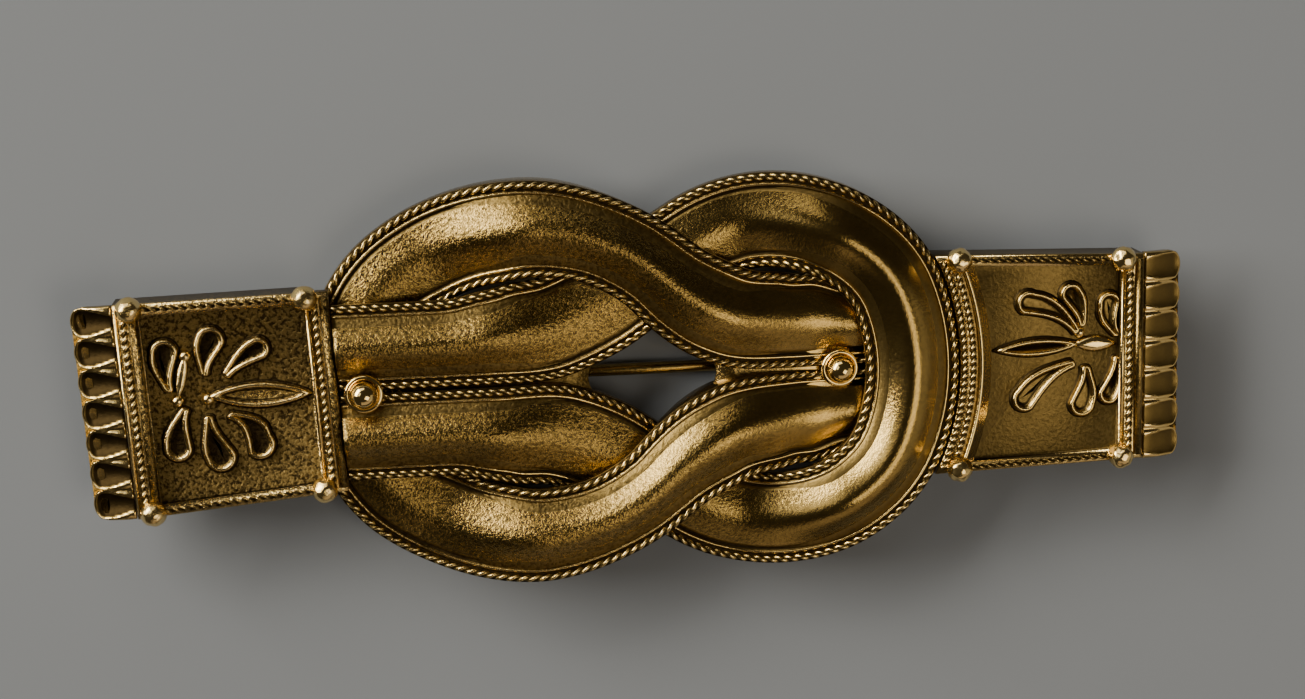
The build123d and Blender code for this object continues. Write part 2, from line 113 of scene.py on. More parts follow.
class BroochPlaqueSettings(bpy.types.PropertyGroup):
    ball_radius: length("Ball radius", "Corner balls", 0.9)
    frame_wall: length("Frame wall", "Thickness of the plaque's side walls", 0.75)
    frame_margin: length("Frame margin", "Side walls past the line between the balls", 0.35)
    panel_recess: length("Panel recess", "Depth of the panel under the frame", 0.6)
    border_rope_radius: length("Border rope radius", "Ropes across the ends of a plaque", 0.28)
    side_rope_radius: length("Side rope radius", "Ropes along the sides of a plaque", 0.22)
    leaf_rim_height: length("Leaf rim height", "Raised outline of the palmette's leaves", 0.46)
    leaf_rim_width: length("Leaf rim width", "Thickness of that outline", 0.46)


class BroochTongueSettings(bpy.types.PropertyGroup):
    reach: length("Reach", "Outward run of the tongues", 3.0)
    drop: length("Drop", "How far their tips bend back", 1.1)
    thickness: length("Thickness", "Thickness of the apron", 0.7)
    scallop: length("Scallop", "How far the tips stand past the webs", 1.0)
    left_hollow: length("Left hollow", "Depth of the left tongues", 0.5)
    right_hollow: length("Right hollow", "Depth of the right tongues", 0.22)


class BroochFinishSettings(bpy.types.PropertyGroup):
    plate: colour("Matt plate", "Granular gold plate of bands and panels", "#B6995A")
    # Rubbed plate, also laid on ridges, rims and rope lobes as a painted highlight
    crest: colour("Rubbed plate", "Rims and ropes, rubbed bright", "#F2D48F")
    # Also laid in grooves, creases, hollows and under pieces as painted shade
    patina: colour("Patina", "Dark film left in the grooves", "#1C140C")
    polished: colour("Polished plate", "Studs and corner balls", "#DDB768")
    grain: length("Grain", "Width of the cast grain", 0.26)


class BroochStageSettings(bpy.types.PropertyGroup):
    floor: colour("Floor", "Pale paper under the brooch", "#868B94")
    key_power: power("Key power", "Broad low softbox to the left of the brooch", 10.4)
    side_power: power("Side power", "Dimmer softbox over the brooch's upper edge", 0.85)
    window_power: power("Window power", "Dimmer softbox over the key softbox", 0.4)
    fill_power: power("Fill power", "Weak warm light from below", 0.12)
    card_power: power("Card power", "Dim warm card over the right end", 0.36)
    wall_power: power("Wall power", "Dim warm light from the right", 0.1)


def in_mm(group):
    """A settings group's values, with its lengths in millimetres."""
    values = {}
    for entry in group.bl_rna.properties:
        if entry.identifier in group.__annotations__:
            value = getattr(group, entry.identifier)
            values[entry.identifier] = value / MM if entry.unit == "LENGTH" else value
    return SimpleNamespace(**values)


# Mesh


def between(low, high, share):
    return low + (high - low) * share


def eased(low, high, value):
    """0 up to the low value, 1 from the high one, and a smooth way between them."""
    share = min(max((value - low) / (high - low), 0), 1)
    return share * share * (3 - 2 * share)


# The mark runs from rubbed plate with a painted highlight (1) to patina with painted shade (-1).
Row = namedtuple("Row", "point wear")  # a place in millimetres and its mark, from 1 to -1


def new_mesh():
    mesh = bmesh.new()
    mesh.verts.layers.float.new("wear")
    return mesh


def add_ring(mesh, rows):
    """A closed ring of vertices joined by edges."""
    wear = mesh.verts.layers.float["wear"]
    ring = [mesh.verts.new(row.point) for row in rows]
    for vert, row in zip(ring, rows):
        vert[wear] = row.wear
    return ring, [mesh.edges.new(pair) for pair in zip(ring, ring[1:] + ring[:1])]


def extrude_ring(mesh, ring, edges, rows):
    """Extrudes a ring's edges, and sets the new ring on the next rows."""
    wear = mesh.verts.layers.float["wear"]
    made = bmesh.ops.extrude_edge_only(mesh, edges=edges)["geom"]
    fresh = {item for item in made if isinstance(item, bmesh.types.BMVert)}
    next_ring = []
    for vert, row in zip(ring, rows):
        twin = next(edge.other_vert(vert) for edge in vert.link_edges if edge.other_vert(vert) in fresh)
        twin.co = row.point
        twin[wear] = row.wear
        next_ring.append(twin)
    pairs = zip(next_ring, next_ring[1:] + next_ring[:1])
    return next_ring, [mesh.edges.get(pair) for pair in pairs]


def stack(mesh, levels, footed=True):
    """A ring on the first rows, extruded to each of the next and filled at the end. Its start is filled
    too, unless it is sunk in another form."""
    ring, edges = add_ring(mesh, levels[0])
    if footed:
        bmesh.ops.holes_fill(mesh, edges=edges, sides=0)
    for rows in levels[1:]:
        ring, edges = extrude_ring(mesh, ring, edges, rows)
    bmesh.ops.holes_fill(mesh, edges=edges, sides=0)


def sweep(mesh, rings):
    """A solid run of rings, closed at both ends: a grid whose rows are set on them, sewn to a tube."""
    sides = len(rings[0])
    wear = mesh.verts.layers.float["wear"]
    grid = bmesh.ops.create_grid(mesh, x_segments=sides, y_segments=len(rings) - 1, size=1)["verts"]
    for number, vert in enumerate(grid):
        row = rings[number // (sides + 1)][number % (sides + 1) % sides]
        vert.co = row.point
        vert[wear] = row.wear
    seam = grid[:: sides + 1] + grid[sides :: sides + 1]
    bmesh.ops.remove_doubles(mesh, verts=seam, dist=MERGE_DISTANCE)
    for ends in (grid[1:sides], grid[-sides:-1]):
        edges = [edge for vert in ends for edge in vert.link_edges if len(edge.link_faces) == 1]
        bmesh.ops.holes_fill(mesh, edges=list(set(edges)), sides=0)


def rub(mesh, verts, wear):
    """Sets one mark, for worn metal and painted light, on vertices."""
    layer = mesh.verts.layers.float["wear"]
    for vert in verts:
        vert[layer] = wear


def fill_open_edges(mesh):
    open_edges = [edge for edge in mesh.edges if len(edge.link_faces) == 1]
    bmesh.ops.holes_fill(mesh, edges=open_edges, sides=0)


def finish_piece(mesh, name, nodes, material, place=Matrix()):
    """Places a mesh drawn about the knot, and makes it the named piece in place of its node."""
    bmesh.ops.remove_doubles(mesh, verts=mesh.verts, dist=MERGE_DISTANCE)
    to_brooch = Matrix.Scale(MM, 4) @ Matrix.Translation(KNOT) @ place
    bmesh.ops.transform(mesh, matrix=to_brooch, verts=mesh.verts)
    # Last, because a place that mirrors the piece turns it inside out.
    bmesh.ops.recalc_face_normals(mesh, faces=mesh.faces)
    data = bpy.data.meshes.new(name)
    mesh.to_mesh(data)
    mesh.free()
    data.shade_smooth()
    data.materials.append(material)
    piece = bpy.data.objects.new(name, data)
    bpy.context.scene.collection.objects.link(piece)
    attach(piece, "root")
    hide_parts(*nodes)


# Twisted ropes

LOBE_SHARE = 0.56  # radius of one strand of a two-strand rope, as a share of the rope's
LOBE_SIDES = 14
LOBE_STEPS = 7  # rings from one lobe of the twist to the next
ROPE_SHINE_FROM = 0.82  # share of a rope's radius past which it is rubbed and painted bright
ARC_STEPS = 48


def rope_radius_at(angle, radius):
    """Outline of two round strands side by side, at an angle round the rope."""
    strand = LOBE_SHARE * radius
    offset = radius - strand
    aside = offset * math.sin(angle)
    return offset * abs(math.cos(angle)) + math.sqrt(strand * strand - aside * aside)


def rope(mesh, path, radius, pitch, rubbing):
    """A rope of two strands, twisted to the left, along a smooth run of (point, sideways) places."""
    points = [point for point, _ in path]
    steps = [0.0]
    for start, end in zip(points, points[1:]):
        steps.append(steps[-1] + (end - start).length)
    lobes = max(2, round(steps[-1] / pitch))
    count = lobes * LOBE_STEPS
    rings = []
    index = 0
    for station in range(count + 1):
        run = steps[-1] * station / count
        while index < len(steps) - 2 and steps[index + 1] < run:
            index += 1
        share = (run - steps[index]) / (steps[index + 1] - steps[index])
        place = points[index].lerp(points[index + 1], share)
        side = path[index][1].lerp(path[index + 1][1], share).normalized()
        along = (points[index + 1] - points[index]).normalized()
        up = side.cross(along).normalized()
        turn = -math.pi * lobes * station / count
        rows = []
        for corner in range(LOBE_SIDES):
            angle = 2 * math.pi * corner / LOBE_SIDES
            reach = rope_radius_at(angle - turn, radius)
            # Lobes rubbed and painted bright at their crests, the valleys between the strands painted
            # dark as shade
            wear = (reach / radius - ROPE_SHINE_FROM) / (1 - ROPE_SHINE_FROM) + rubbing
            step = side * math.cos(angle) + up * math.sin(angle)
            rows.append(Row(place + step * reach, max(-1, min(1, wear))))
        rings.append(rows)
    sweep(mesh, rings)


def straight_path(start, end):
    start, end = Vector(start), Vector(end)
    side = (end - start).cross(Vector((0, 0, 1))).normalized()
    return [(start, side), (end, side)]


def arc_path(centre, radius, low, high):
    """Places along an arc between two angles."""
    path = []
    for index in range(ARC_STEPS + 1):
        angle = between(low, high, index / ARC_STEPS)
        outward = Vector((math.cos(angle), math.sin(angle), 0))
        path.append((Vector(centre) + outward * radius, outward))
    return path


# Route of the bands

KNOT_REACH = 17.9  # from the middle of the knot to the middle of the right bight
STRAND_TUCK = 1.5  # how far the left loop's strands run on past there
# Turns in degrees, lengths as shares of the knot's reach
Route = namedtuple(
    "Route", "reach end_radius end_turn shoulder_radius shoulder_turn lobe_radius lobe_turn diagonal"
)
RIGHT_ROUTE = Route(1, 0.782, 20.5, 0.416, 27.5, 0.564, 73.3, 0.374)
LEFT_ROUTE = Route(1.123, 0.838, 12.2, 0.441, 41.0, 0.771, 79.2, 0.022)

# Each row eases one quantity from a start to an end, both shares of the half route's length
Swing = namedtuple("Swing", "quantity start end before after")
RIGHT_SWINGS = (
    Swing("rise", 0.22, 0.40, 1, 0),
    Swing("rise", 0.62, 0.80, 0, 1),
    Swing("outer", 0.12, 0.24, 0, 1),
    Swing("outer", 0.64, 0.77, 1, 0),
    Swing("inner", 0.27, 0.38, 0, 1),
    Swing("inner", 0.76, 0.88, 1, 0),
    Swing("width", 0.50, 0.62, 1, 2),
    Swing("width", 0.68, 0.785, 2, 0),
    Swing("outward", 0.68, 0.75, 0, 2),
    Swing("outward", 0.77, 0.85, 2, 0),
    Swing("inward", 0, 1, 0, 0),
)
LEFT_SWINGS = (
    Swing("rise", 0.22, 0.39, 0, 1),
    Swing("rise", 0.66, 0.86, 1, 0),
    Swing("outer", 0.40, 0.52, 1, 0),
    Swing("outer", 0.79, 0.87, 0, 1),
    Swing("inner", 0.26, 0.38, 1, 0),
    Swing("inner", 0.60, 0.70, 0, 1),
    Swing("width", 0.38, 0.50, 1, 0.3),
    Swing("width", 0.56, 0.68, 0.3, 1.6),
    Swing("width", 0.70, 0.80, 1.6, 0),
    Swing("outward", 0.70, 0.78, 0, 2.2),
    Swing("outward", 0.82, 0.88, 2.2, 0),
    Swing("inward", 0.16, 0.24, 0, 0.8),
    Swing("inward", 0.32, 0.40, 0.8, 0),
)
CROSSING_SKIRT = 0.55  # depth of the side walls where the bands cross
ARCH_DROP = 0.3  # from the rope base line down to where the hollow's arch springs
HALF_STATIONS = 170
SLANT_FROM = 0.97  # share of the half route from which a strand's end turns to the plaque
ROPE_SEAT = 0.3  # from a rope's middle to the side of its band

Stretch = namedtuple("Stretch", "place heading length turn")


def part_way(stretch, share):
    """Point and heading a share of the way along a straight or round stretch."""
    heading = math.radians(stretch.heading)
    turn = math.radians(stretch.turn) * share
    if stretch.turn == 0:
        step = Vector((math.cos(heading), math.sin(heading))) * stretch.length * share
        return stretch.place + step, stretch.heading
    radius = stretch.length / math.radians(stretch.turn)
    end = heading + turn
    step = Vector((math.sin(end) - math.sin(heading), math.cos(heading) - math.cos(end)))
    return stretch.place + step * radius, stretch.heading + math.degrees(turn)


def half_route(route, strand_y, strand_end):
    """Stretches of a half route: three left arcs, a straight diagonal, a right arc and the strand."""
    stretches = []
    place, heading = Vector((route.reach * KNOT_REACH, 0)), 90

    def add(run, turn):
        nonlocal place, heading
        stretches.append(Stretch(place, heading, run, turn))
        place, heading = part_way(stretches[-1], 1)

    def add_arc(radius, turn):
        add(radius * KNOT_REACH * math.radians(turn), turn)

    add_arc(route.end_radius, route.end_turn)
    add_arc(route.shoulder_radius, route.shoulder_turn)
    add_arc(route.lobe_radius, route.lobe_turn)
    add(route.diagonal * KNOT_REACH, 0)
    turn_back = heading - 180
    radius = (place.y - strand_y) / (1 - math.cos(math.radians(turn_back)))
    add(radius * math.radians(turn_back), -turn_back)
    add(place.x + strand_end, 0)
    return stretches


def at_share(stretches, share):
    """Point and heading at a share of a whole half route."""
    left = share * sum(abs(stretch.length) for stretch in stretches)
    for stretch in stretches[:-1]:
        if left <= abs(stretch.length):
            return part_way(stretch, left / abs(stretch.length))
        left -= abs(stretch.length)
    return part_way(stretches[-1], min(left / stretches[-1].length, 1))


def swung(swings, quantity, share):
    """A quantity's value at a share of the route: it rests between its swings."""
    rows = [swing for swing in swings if swing.quantity == quantity]
    value = rows[0].before
    for swing in rows:
        value = between(value, swing.after, eased(swing.start, swing.end, share))
    return value


Station = namedtuple("Station", "place heading level bulge half outer_edge inner_edge")


def middle_of_strand(band):
    """Distance of a straight strand from the long axis of the knot."""
    return band.strand_gap / 2 + ROPE_SEAT + band.strand_half_width


def band_stations(route, swings, band, strand_end, slant=0, mirrored=False):
    """Stations of a half band from its bight to its strand's end."""
    stretches = half_route(route, middle_of_strand(band), strand_end)
    stations = []
    for index in range(HALF_STATIONS + 1):
        share = index / HALF_STATIONS
        place, heading = at_share(stretches, share)
        rise = swung(swings, "rise", share)
        level = between(UNDER_LEVEL, OVER_LEVEL, rise)
        last = max(0, (share - SLANT_FROM) / (1 - SLANT_FROM))
        heading += slant * last
        outer = between(level - CROSSING_SKIRT, BAND_BACK, swung(swings, "outer", share))
        inner = between(level - CROSSING_SKIRT, BAND_BACK, swung(swings, "inner", share))
        half = between(band.strand_half_width, band.band_half_width, swung(swings, "width", share))
        outward = swung(swings, "outward", share) * ROPE_SEAT
        inward = swung(swings, "inward", share) * ROPE_SEAT
        half += (outward + inward) / 2
        shift = (outward - inward) / 2
        angle = math.radians(heading)
        place += Vector((math.sin(angle), -math.cos(angle))) * shift
        bulge = between(band.flat_height, band.bulge_height, rise)
        if mirrored:
            place = Vector((place.x, -place.y))
            heading = 180 - heading
        stations.append(Station(place, heading, level, bulge, half, outer, inner))
    return stations


def across(station, reach, height):
    """A point of a station's section. Reach is positive on the outer side of the loop."""
    angle = math.radians(station.heading)
    step = Vector((math.sin(angle), -math.cos(angle)))
    place = station.place + step * reach
    return Vector((place.x, place.y, height))


# The fine ridge is rubbed and painted bright, and the grooves beside it are dark with patina and
# painted shade.
SIDE_PROFILE = (
    # inward distance from the rope's middle, height over the rope base line, wear and painted light
    (-0.30, -0.05, -0.3),
    (-0.27, 0.02, -0.9),
    (0.27, -0.02, -1.0),
    (0.36, -0.04, -1.0),
    (0.42, 0.07, 0.4),
    (0.50, 0.15, 0.8),
    (0.58, 0.07, 0.4),
    (0.64, -0.06, -1.0),
    (0.76, -0.10, -1.0),
    (0.84, -0.02, -0.6),
)
BULGE_STEPS = 24
BULGE_EDGE = 0.84  # from the rope's middle to the foot of the bulge
BULGE_FLARE = 0.5  # 0 for a plain arc, 1 for a wave that runs out into hollow feet
HOLLOW_STEPS = 6
BAND_ROUND = 0.06  # rounding of a side wall's lower edges
# The lower edges and walls a little lighter, and the hollow behind painted dark as shade
LOWER_EDGE_WEAR, LOWER_WALL_WEAR, BACK_SHADE = 0.3, 0.5, -0.4


def band_rows(station, band):
    """One closed section: side wall, rope seat, fine ridge, bulge, and the hollow behind."""
    rows = []
    side = station.half + ROPE_SEAT

    def add(reach, height, wear):
        rows.append(Row(across(station, reach, height), wear))

    add(side - BAND_ROUND, station.outer_edge, LOWER_EDGE_WEAR)
    add(side, station.outer_edge + BAND_ROUND, LOWER_WALL_WEAR)
    add(side, between(station.outer_edge, station.level, 0.5), 0)
    for inward, height, wear in SIDE_PROFILE:
        add(station.half - inward, station.level + height, wear)
    foot = station.half - BULGE_EDGE
    radius = (foot * foot + station.bulge**2) / (2 * station.bulge)
    for step in range(1, BULGE_STEPS):
        reach = foot * (1 - 2 * step / BULGE_STEPS)
        arc = math.sqrt(radius * radius - reach * reach) - (radius - station.bulge)
        wave = station.bulge * (1 + math.cos(math.pi * reach / foot)) / 2
        add(reach, station.level + between(arc, wave, BULGE_FLARE), 0)
    for inward, height, wear in reversed(SIDE_PROFILE):
        add(inward - station.half, station.level + height, wear)
    add(-side, between(station.inner_edge, station.level, 0.5), 0)
    add(-side, station.inner_edge + BAND_ROUND, LOWER_WALL_WEAR)
    add(BAND_ROUND - side, station.inner_edge, LOWER_EDGE_WEAR)
    add(band.wall - side, station.inner_edge, 0)
    spring = station.level - ARCH_DROP
    for step in range(HOLLOW_STEPS + 1):
        angle = math.pi * step / HOLLOW_STEPS
        height = spring + (station.bulge - band.wall + ARCH_DROP) * math.sin(angle)
        add(-(side - band.wall) * math.cos(angle), height, BACK_SHADE)
    add(side - band.wall, station.outer_edge, 0)
    return rows


ROPE_LIFT = 0.02
# Lifts the edge ropes' lobes to a brighter painted highlight
EDGE_ROPE_SHINE = 0.35


def edge_rope_path(stations, side):
    """Places of one edge rope's middle line, with its sideways directions."""
    path = []
    for station in stations:
        reach = side * station.half
        point = across(station, reach, station.level + ROPE_LIFT)
        outward = (across(station, reach + 1, 0) - across(station, reach, 0)).normalized()
        path.append((point, outward))
    return path


def add_band(mesh, stations, band):
    sweep(mesh, [band_rows(station, band) for station in stations])
    for side in (-1, 1):
        path = edge_rope_path(stations, side)
        rope(mesh, path, band.rope_radius, band.rope_pitch, EDGE_ROPE_SHINE)


# Solder between the two strands of a loop: from its root to the opening, its top, and its wear and
# painted light
Web = namedtuple("Web", "root_x end_x top wear")
LEFT_WEB = Web(-17.5, -3.8, 3.25, 0.2)
RIGHT_WEB = Web(-20.5, -3.6, 3.2, -0.3)
WEB_HALF_WIDTH, WEB_THICKNESS, WEB_DIP, WEB_SAG = 1.5, 0.5, 0.7, 0.25
WEB_SIDES = 12
WEB_SHARES = (0, 0.6, 0.9, 1)


def solder_web(mesh, web):
    """A web of solder, its edge at the opening hollow and sagging."""
    dip = math.copysign(WEB_DIP, web.root_x - web.end_x)
    rings = []
    for share in WEB_SHARES:
        top = web.top - WEB_SAG * eased(WEB_SHARES[1], 1, share)
        upper, lower = [], []
        for side in range(WEB_SIDES + 1):
            reach = 2 * side / WEB_SIDES - 1
            x = between(web.root_x, web.end_x + dip * (1 - reach * reach), share)
            upper.append(Row(Vector((x, reach * WEB_HALF_WIDTH, top)), web.wear))
            # The underside is painted dark as shade.
            lower.append(Row(Vector((x, reach * WEB_HALF_WIDTH, web.top - WEB_THICKNESS)), -1))
        rings.append(upper + lower[::-1])
    sweep(mesh, rings)


def left_loop(band):
    """The left loop, drawn with its bight to the right and turned over when it is placed."""
    mesh = new_mesh()
    tuck = KNOT_REACH + STRAND_TUCK
    half = band_stations(LEFT_ROUTE, LEFT_SWINGS, band, tuck)
    other = band_stations(LEFT_ROUTE, LEFT_SWINGS, band, tuck, mirrored=True)
    add_band(mesh, other[:0:-1] + half, band)
    solder_web(mesh, LEFT_WEB)
    return mesh


def right_loop(band):
    """The right loop, its strands ending along the left plaque's slanted edge."""
    mesh = new_mesh()
    inner_edge = LEFT_INNER_ROPE + MOULDING_EDGE + SEAT_GAP
    edge_middle = LEFT_PLACE @ Vector((inner_edge, 0, 0))
    runs = []
    for side in (-1, 1):
        strand_y = side * middle_of_strand(band)
        end = (strand_y - edge_middle.y) * math.tan(LEFT_TURN) - edge_middle.x
        slant = side * math.degrees(LEFT_TURN)
        runs.append(band_stations(RIGHT_ROUTE, RIGHT_SWINGS, band, end, slant, side < 0))
    add_band(mesh, runs[0][:0:-1] + runs[1], band)
    solder_web(mesh, RIGHT_WEB)
    return mesh


# Plaques

BALL_X = 5.72  # from a plaque's middle to its corner balls
LEFT_BALLS = (6.9, 6.54)  # ball distance from the long axis, at a plaque's left and right side
RIGHT_BALLS = (7.28, 6.92)
LEFT_TURN = math.radians(3.2)
LEFT_PLACE = Matrix.Translation((-28.48, -0.25, 0)) @ Matrix.Rotation(LEFT_TURN, 4, "Z")
RIGHT_PLACE = Matrix.Translation((26.8, 0, 0))
# Fine line and moulding of a straight border, from its rope
LINE_OFFSET, LINE_RADIUS = -0.5, 0.15
MOULDING_OFFSET, MOULDING_RADIUS = 0.66, 0.32
LINE_EDGE, MOULDING_EDGE = LINE_OFFSET - LINE_RADIUS, MOULDING_OFFSET + MOULDING_RADIUS
LEFT_OUTER_ROPE, LEFT_INNER_ROPE, RIGHT_OUTER_ROPE = -6.17, 6.3, 6.3
UNDERPASS_HEIGHT, UNDERPASS_LENGTH = 3.8, 1.9
PANEL_THICKNESS = 0.45
BALL_LIFT = 0.25
# Ropes, and a fine line as the last, that follow the right bight
CURVED_ROPE_RADIUS, CURVED_LINE_SPACING, CURVED_LINE_COUNT = 0.27, 0.6, 3
ARC_CORNERS = 20
HALF_ROUND_SIDES = 12
FOOT_SHADE, FOOT_RISE = 0.6, 0.3  # foot of a half-round line painted dark as shade, up to a share of its height
FRAME_ROUND, RIM_ROUND = 0.1, 0.07  # rounding of the frame's outer and inner edge
PANEL_FILLET_RUN, PANEL_FILLET_RISE = 0.08, 0.06
SHADE_DEPTH = 0.4  # from the frame's top to where the side walls are painted dark as shade

# From one lobe of a rope's twist to the next, and how much the rope is rubbed and painted bright; below
# nothing, painted darker
Twist = namedtuple("Twist", "pitch rubbing")
BORDER_TWIST = Twist(0.56, 0.6)
SIDE_TWIST = Twist(0.6, -0.5)
CURVED_TWIST = Twist(0.5, 0.1)
# How bright the tops of the lines are rubbed and painted; the moulding's top a little darker
STRAIGHT_LINE_SHINE, MOULDING_SHINE, CURVED_LINE_SHINE = 0.9, -0.1, 0.8

BALL_SHARE = 0.98  # radius of a corner ball before its lumps
BALL_SUBDIVISIONS = 4
LEFT_LUMPS, RIGHT_LUMPS = 0.08, 0.14
BUMP_COUNT, FINE_BUMP_COUNT, BUMP_WEIGHT = 1.9, 5.0, 0.7

# Root and tip as shares of the ball distances, bow to the left as a share of the length, and width as
# a share of the balls' X distance
Leaf = namedtuple("Leaf", "root_x root_y tip_x tip_y bow width")
LEFT_LEAVES = (
    Leaf(-0.66, 0.17, -0.68, 0.70, 0.06, 0.34),
    Leaf(-0.24, 0.30, -0.09, 0.78, 0.05, 0.35),
    Leaf(0.00, 0.27, 0.52, 0.58, 0.05, 0.29),
    Leaf(-0.50, -0.02, -0.69, -0.55, -0.06, 0.35),
    Leaf(-0.25, -0.12, -0.13, -0.70, -0.05, 0.37),
    Leaf(-0.01, -0.13, 0.42, -0.58, 0.14, 0.37),
)
LEFT_SPINDLE = Leaf(-0.24, 0.08, 0.98, 0.01, 0.0, 0.31)
LEFT_STEM = Leaf(-0.58, 0.06, -0.42, 0.56, 0.0, 0.13)
LEFT_KNOBS = ((-0.23, 0.05), (-0.58, 0.06), (-0.44, 0.50))
RIGHT_LEAVES = (
    Leaf(0.47, 0.26, -0.26, 0.64, -0.10, 0.32),
    Leaf(0.53, 0.33, 0.35, 0.75, -0.06, 0.29),
    Leaf(0.97, 0.22, 0.83, 0.65, 0.10, 0.30),
    Leaf(0.44, -0.04, -0.31, -0.45, -0.08, 0.33),
    Leaf(0.58, -0.08, 0.52, -0.58, 0.06, 0.33),
    Leaf(0.97, 0.00, 0.84, -0.47, 0.06, 0.28),
)
RIGHT_SPINDLE = Leaf(0.51, 0.15, -0.55, 0.11, 0.0, 0.22)
RIGHT_STEM = Leaf(0.97, 0.14, 0.42, 0.14, 0.0, 0.20)
RIGHT_KNOBS = ((0.50, 0.26),)
KNOB_RADIUS, KNOB_LIFT, KNOB_WEAR = 0.42, 0.05, 0.9
KNOB_SIDES, KNOB_RINGS = 24, 12
LEAF_ROOT_RADIUS = 0.36
LEAF_START = 0.04  # share of a leaf's length where its sides start
LEAF_STEPS, ROOT_STEPS, SPINDLE_STEPS = 10, 4, 14
ROOT_FLATTENING = 0.6
SPINDLE_FULLNESS = 0.8  # 1 for a sine's outline, less for a fuller one
# The stem is painted dark as shadow at its foot, and rubbed and painted bright along its top.
STEM_PROFILE = (
    # inward distance as a share of half the stem's width, height over the panel, wear and painted light
    (0, -0.08, -1.0),
    (0, 0.2, 0.2),
    (0.3, 0.34, 0.8),
    (0.7, 0.4, 1.0),
)

# Painted shade in the leaves' hollows, and how strongly their rims are rubbed and painted bright
Palmette = namedtuple("Palmette", "leaves spindle stem knobs hollow_wear rubbing")
LEFT_PALMETTE = Palmette(LEFT_LEAVES, LEFT_SPINDLE, LEFT_STEM, LEFT_KNOBS, -0.9, 1.0)
RIGHT_PALMETTE = Palmette(RIGHT_LEAVES, RIGHT_SPINDLE, RIGHT_STEM, RIGHT_KNOBS, -0.4, 0.55)


def ball_line(balls, x):
    """Distance from the long axis to the line between the balls, at an X on the plaque."""
    return between(balls[0], balls[1], (x + BALL_X) / (2 * BALL_X))


def four_corners(low_x, high_x, balls, margin):
    low, high = ball_line(balls, low_x) + margin, ball_line(balls, high_x) + margin
    return [(low_x, -low), (high_x, -high), (high_x, high), (low_x, low)]


def round_edge_corners(radius, centre_x, high_x, balls, margin):
    """Corners whose left side is an arc about the right bight's centre, and its points."""
    reach = math.asin((balls[0] + margin) / radius)
    arc = [
        (centre_x + radius * math.cos(turn), radius * math.sin(turn))
        for turn in (reach - 2 * reach * index / ARC_CORNERS for index in range(ARC_CORNERS + 1))
    ]
    high = ball_line(balls, high_x) + margin
    return arc + [(high_x, -high), (high_x, high)]


def rows_at(corners, height, wear):
    return [Row(Vector((x, y, height)), wear) for x, y in corners]


def shrunk(corners, amount):
    """The same corners nearer to the middle by about an amount."""
    middle = sum((Vector(corner) for corner in corners), Vector((0, 0))) / len(corners)
    nearer = []
    for corner in corners:
        step = middle - Vector(corner)
        x = corner[0] + math.copysign(amount, step.x)
        y = corner[1] + math.copysign(min(amount, abs(step.y)), step.y)
        nearer.append((x, y))
    return nearer


def tray(mesh, outline, panel, hollow, plaque):
    """A plaque's shell: panel, frame, side walls, and the hollow behind the panel."""
    panel_top = FRAME_TOP - plaque.panel_recess
    # The panel's foot along the frame and the side walls are painted dark as shade, the frame's edges
    # rubbed and painted bright.
    levels = (
        # corners, height, wear and painted light
        (shrunk(panel, PANEL_FILLET_RUN), panel_top, -0.5),
        (panel, panel_top + PANEL_FILLET_RISE, -0.9),
        (panel, FRAME_TOP - RIM_ROUND, 0.2),
        (shrunk(panel, -RIM_ROUND), FRAME_TOP, 0.6),
        (shrunk(outline, FRAME_ROUND), FRAME_TOP, 0.6),
        (outline, FRAME_TOP - FRAME_ROUND, 0.2),
        (outline, FRAME_TOP - SHADE_DEPTH, -0.6),
        (outline, PLAQUE_BACK + FRAME_ROUND, -0.8),
        (shrunk(outline, FRAME_ROUND), PLAQUE_BACK, 0),
        (hollow, PLAQUE_BACK, 0),
        (hollow, panel_top - PANEL_THICKNESS, -0.5),
    )
    stack(mesh, [rows_at(*level) for level in levels])


def cut_underpass(mesh, low_x, high_z):
    """Opens the inner wall under a height, where the left bight passes behind the plaque."""
    for place, way in (((low_x, 0, 0), (1, 0, 0)), ((0, 0, high_z), (0, 0, 1))):
        geometry = mesh.verts[:] + mesh.edges[:] + mesh.faces[:]
        bmesh.ops.bisect_plane(mesh, geom=geometry, plane_co=place, plane_no=way)
    middles = [(face, face.calc_center_median()) for face in mesh.faces]
    gone = [face for face, middle in middles if middle.x > low_x and middle.z < high_z - MERGE_DISTANCE]
    bmesh.ops.delete(mesh, geom=gone, context="FACES")
    fill_open_edges(mesh)


def half_round(mesh, path, radius, wear):
    """A half-round line of metal on the frame, its lower half sunk in, its foot painted dark as shade
    and its top painted bright.
    """
    rings = []
    for point, side in path:
        rows = []
        for corner in range(HALF_ROUND_SIDES):
            angle = 2 * math.pi * corner / HALF_ROUND_SIDES
            rise = math.sin(angle)
            step = side * math.cos(angle) + Vector((0, 0, rise))
            tarnish_and_shade = FOOT_SHADE if rise < FOOT_RISE else 0
            rows.append(Row(point + step * radius, wear * max(0, rise) - tarnish_and_shade))
        rings.append(rows)
    sweep(mesh, rings)


def ball(mesh, centre, radius, lumps, wear):
    """A cast ball, a little uneven."""
    made = bmesh.ops.create_icosphere(mesh, subdivisions=BALL_SUBDIVISIONS, radius=radius)["verts"]
    for vert in made:
        bump = noise.noise(vert.co * BUMP_COUNT / radius + Vector(centre))
        fine = noise.noise(vert.co * FINE_BUMP_COUNT / radius + Vector(centre))
        vert.co *= 1 + lumps * between(fine, bump, BUMP_WEIGHT)
    rub(mesh, made, wear)
    bmesh.ops.translate(mesh, verts=made, vec=centre)


def leaf_axis(leaf, ball_y):
    """A leaf's root, tip, direction and left side."""
    root = Vector((leaf.root_x * BALL_X, leaf.root_y * ball_y))
    tip = Vector((leaf.tip_x * BALL_X, leaf.tip_y * ball_y))
    along = (tip - root).normalized()
    return root, tip, along, Vector((-along.y, along.x))


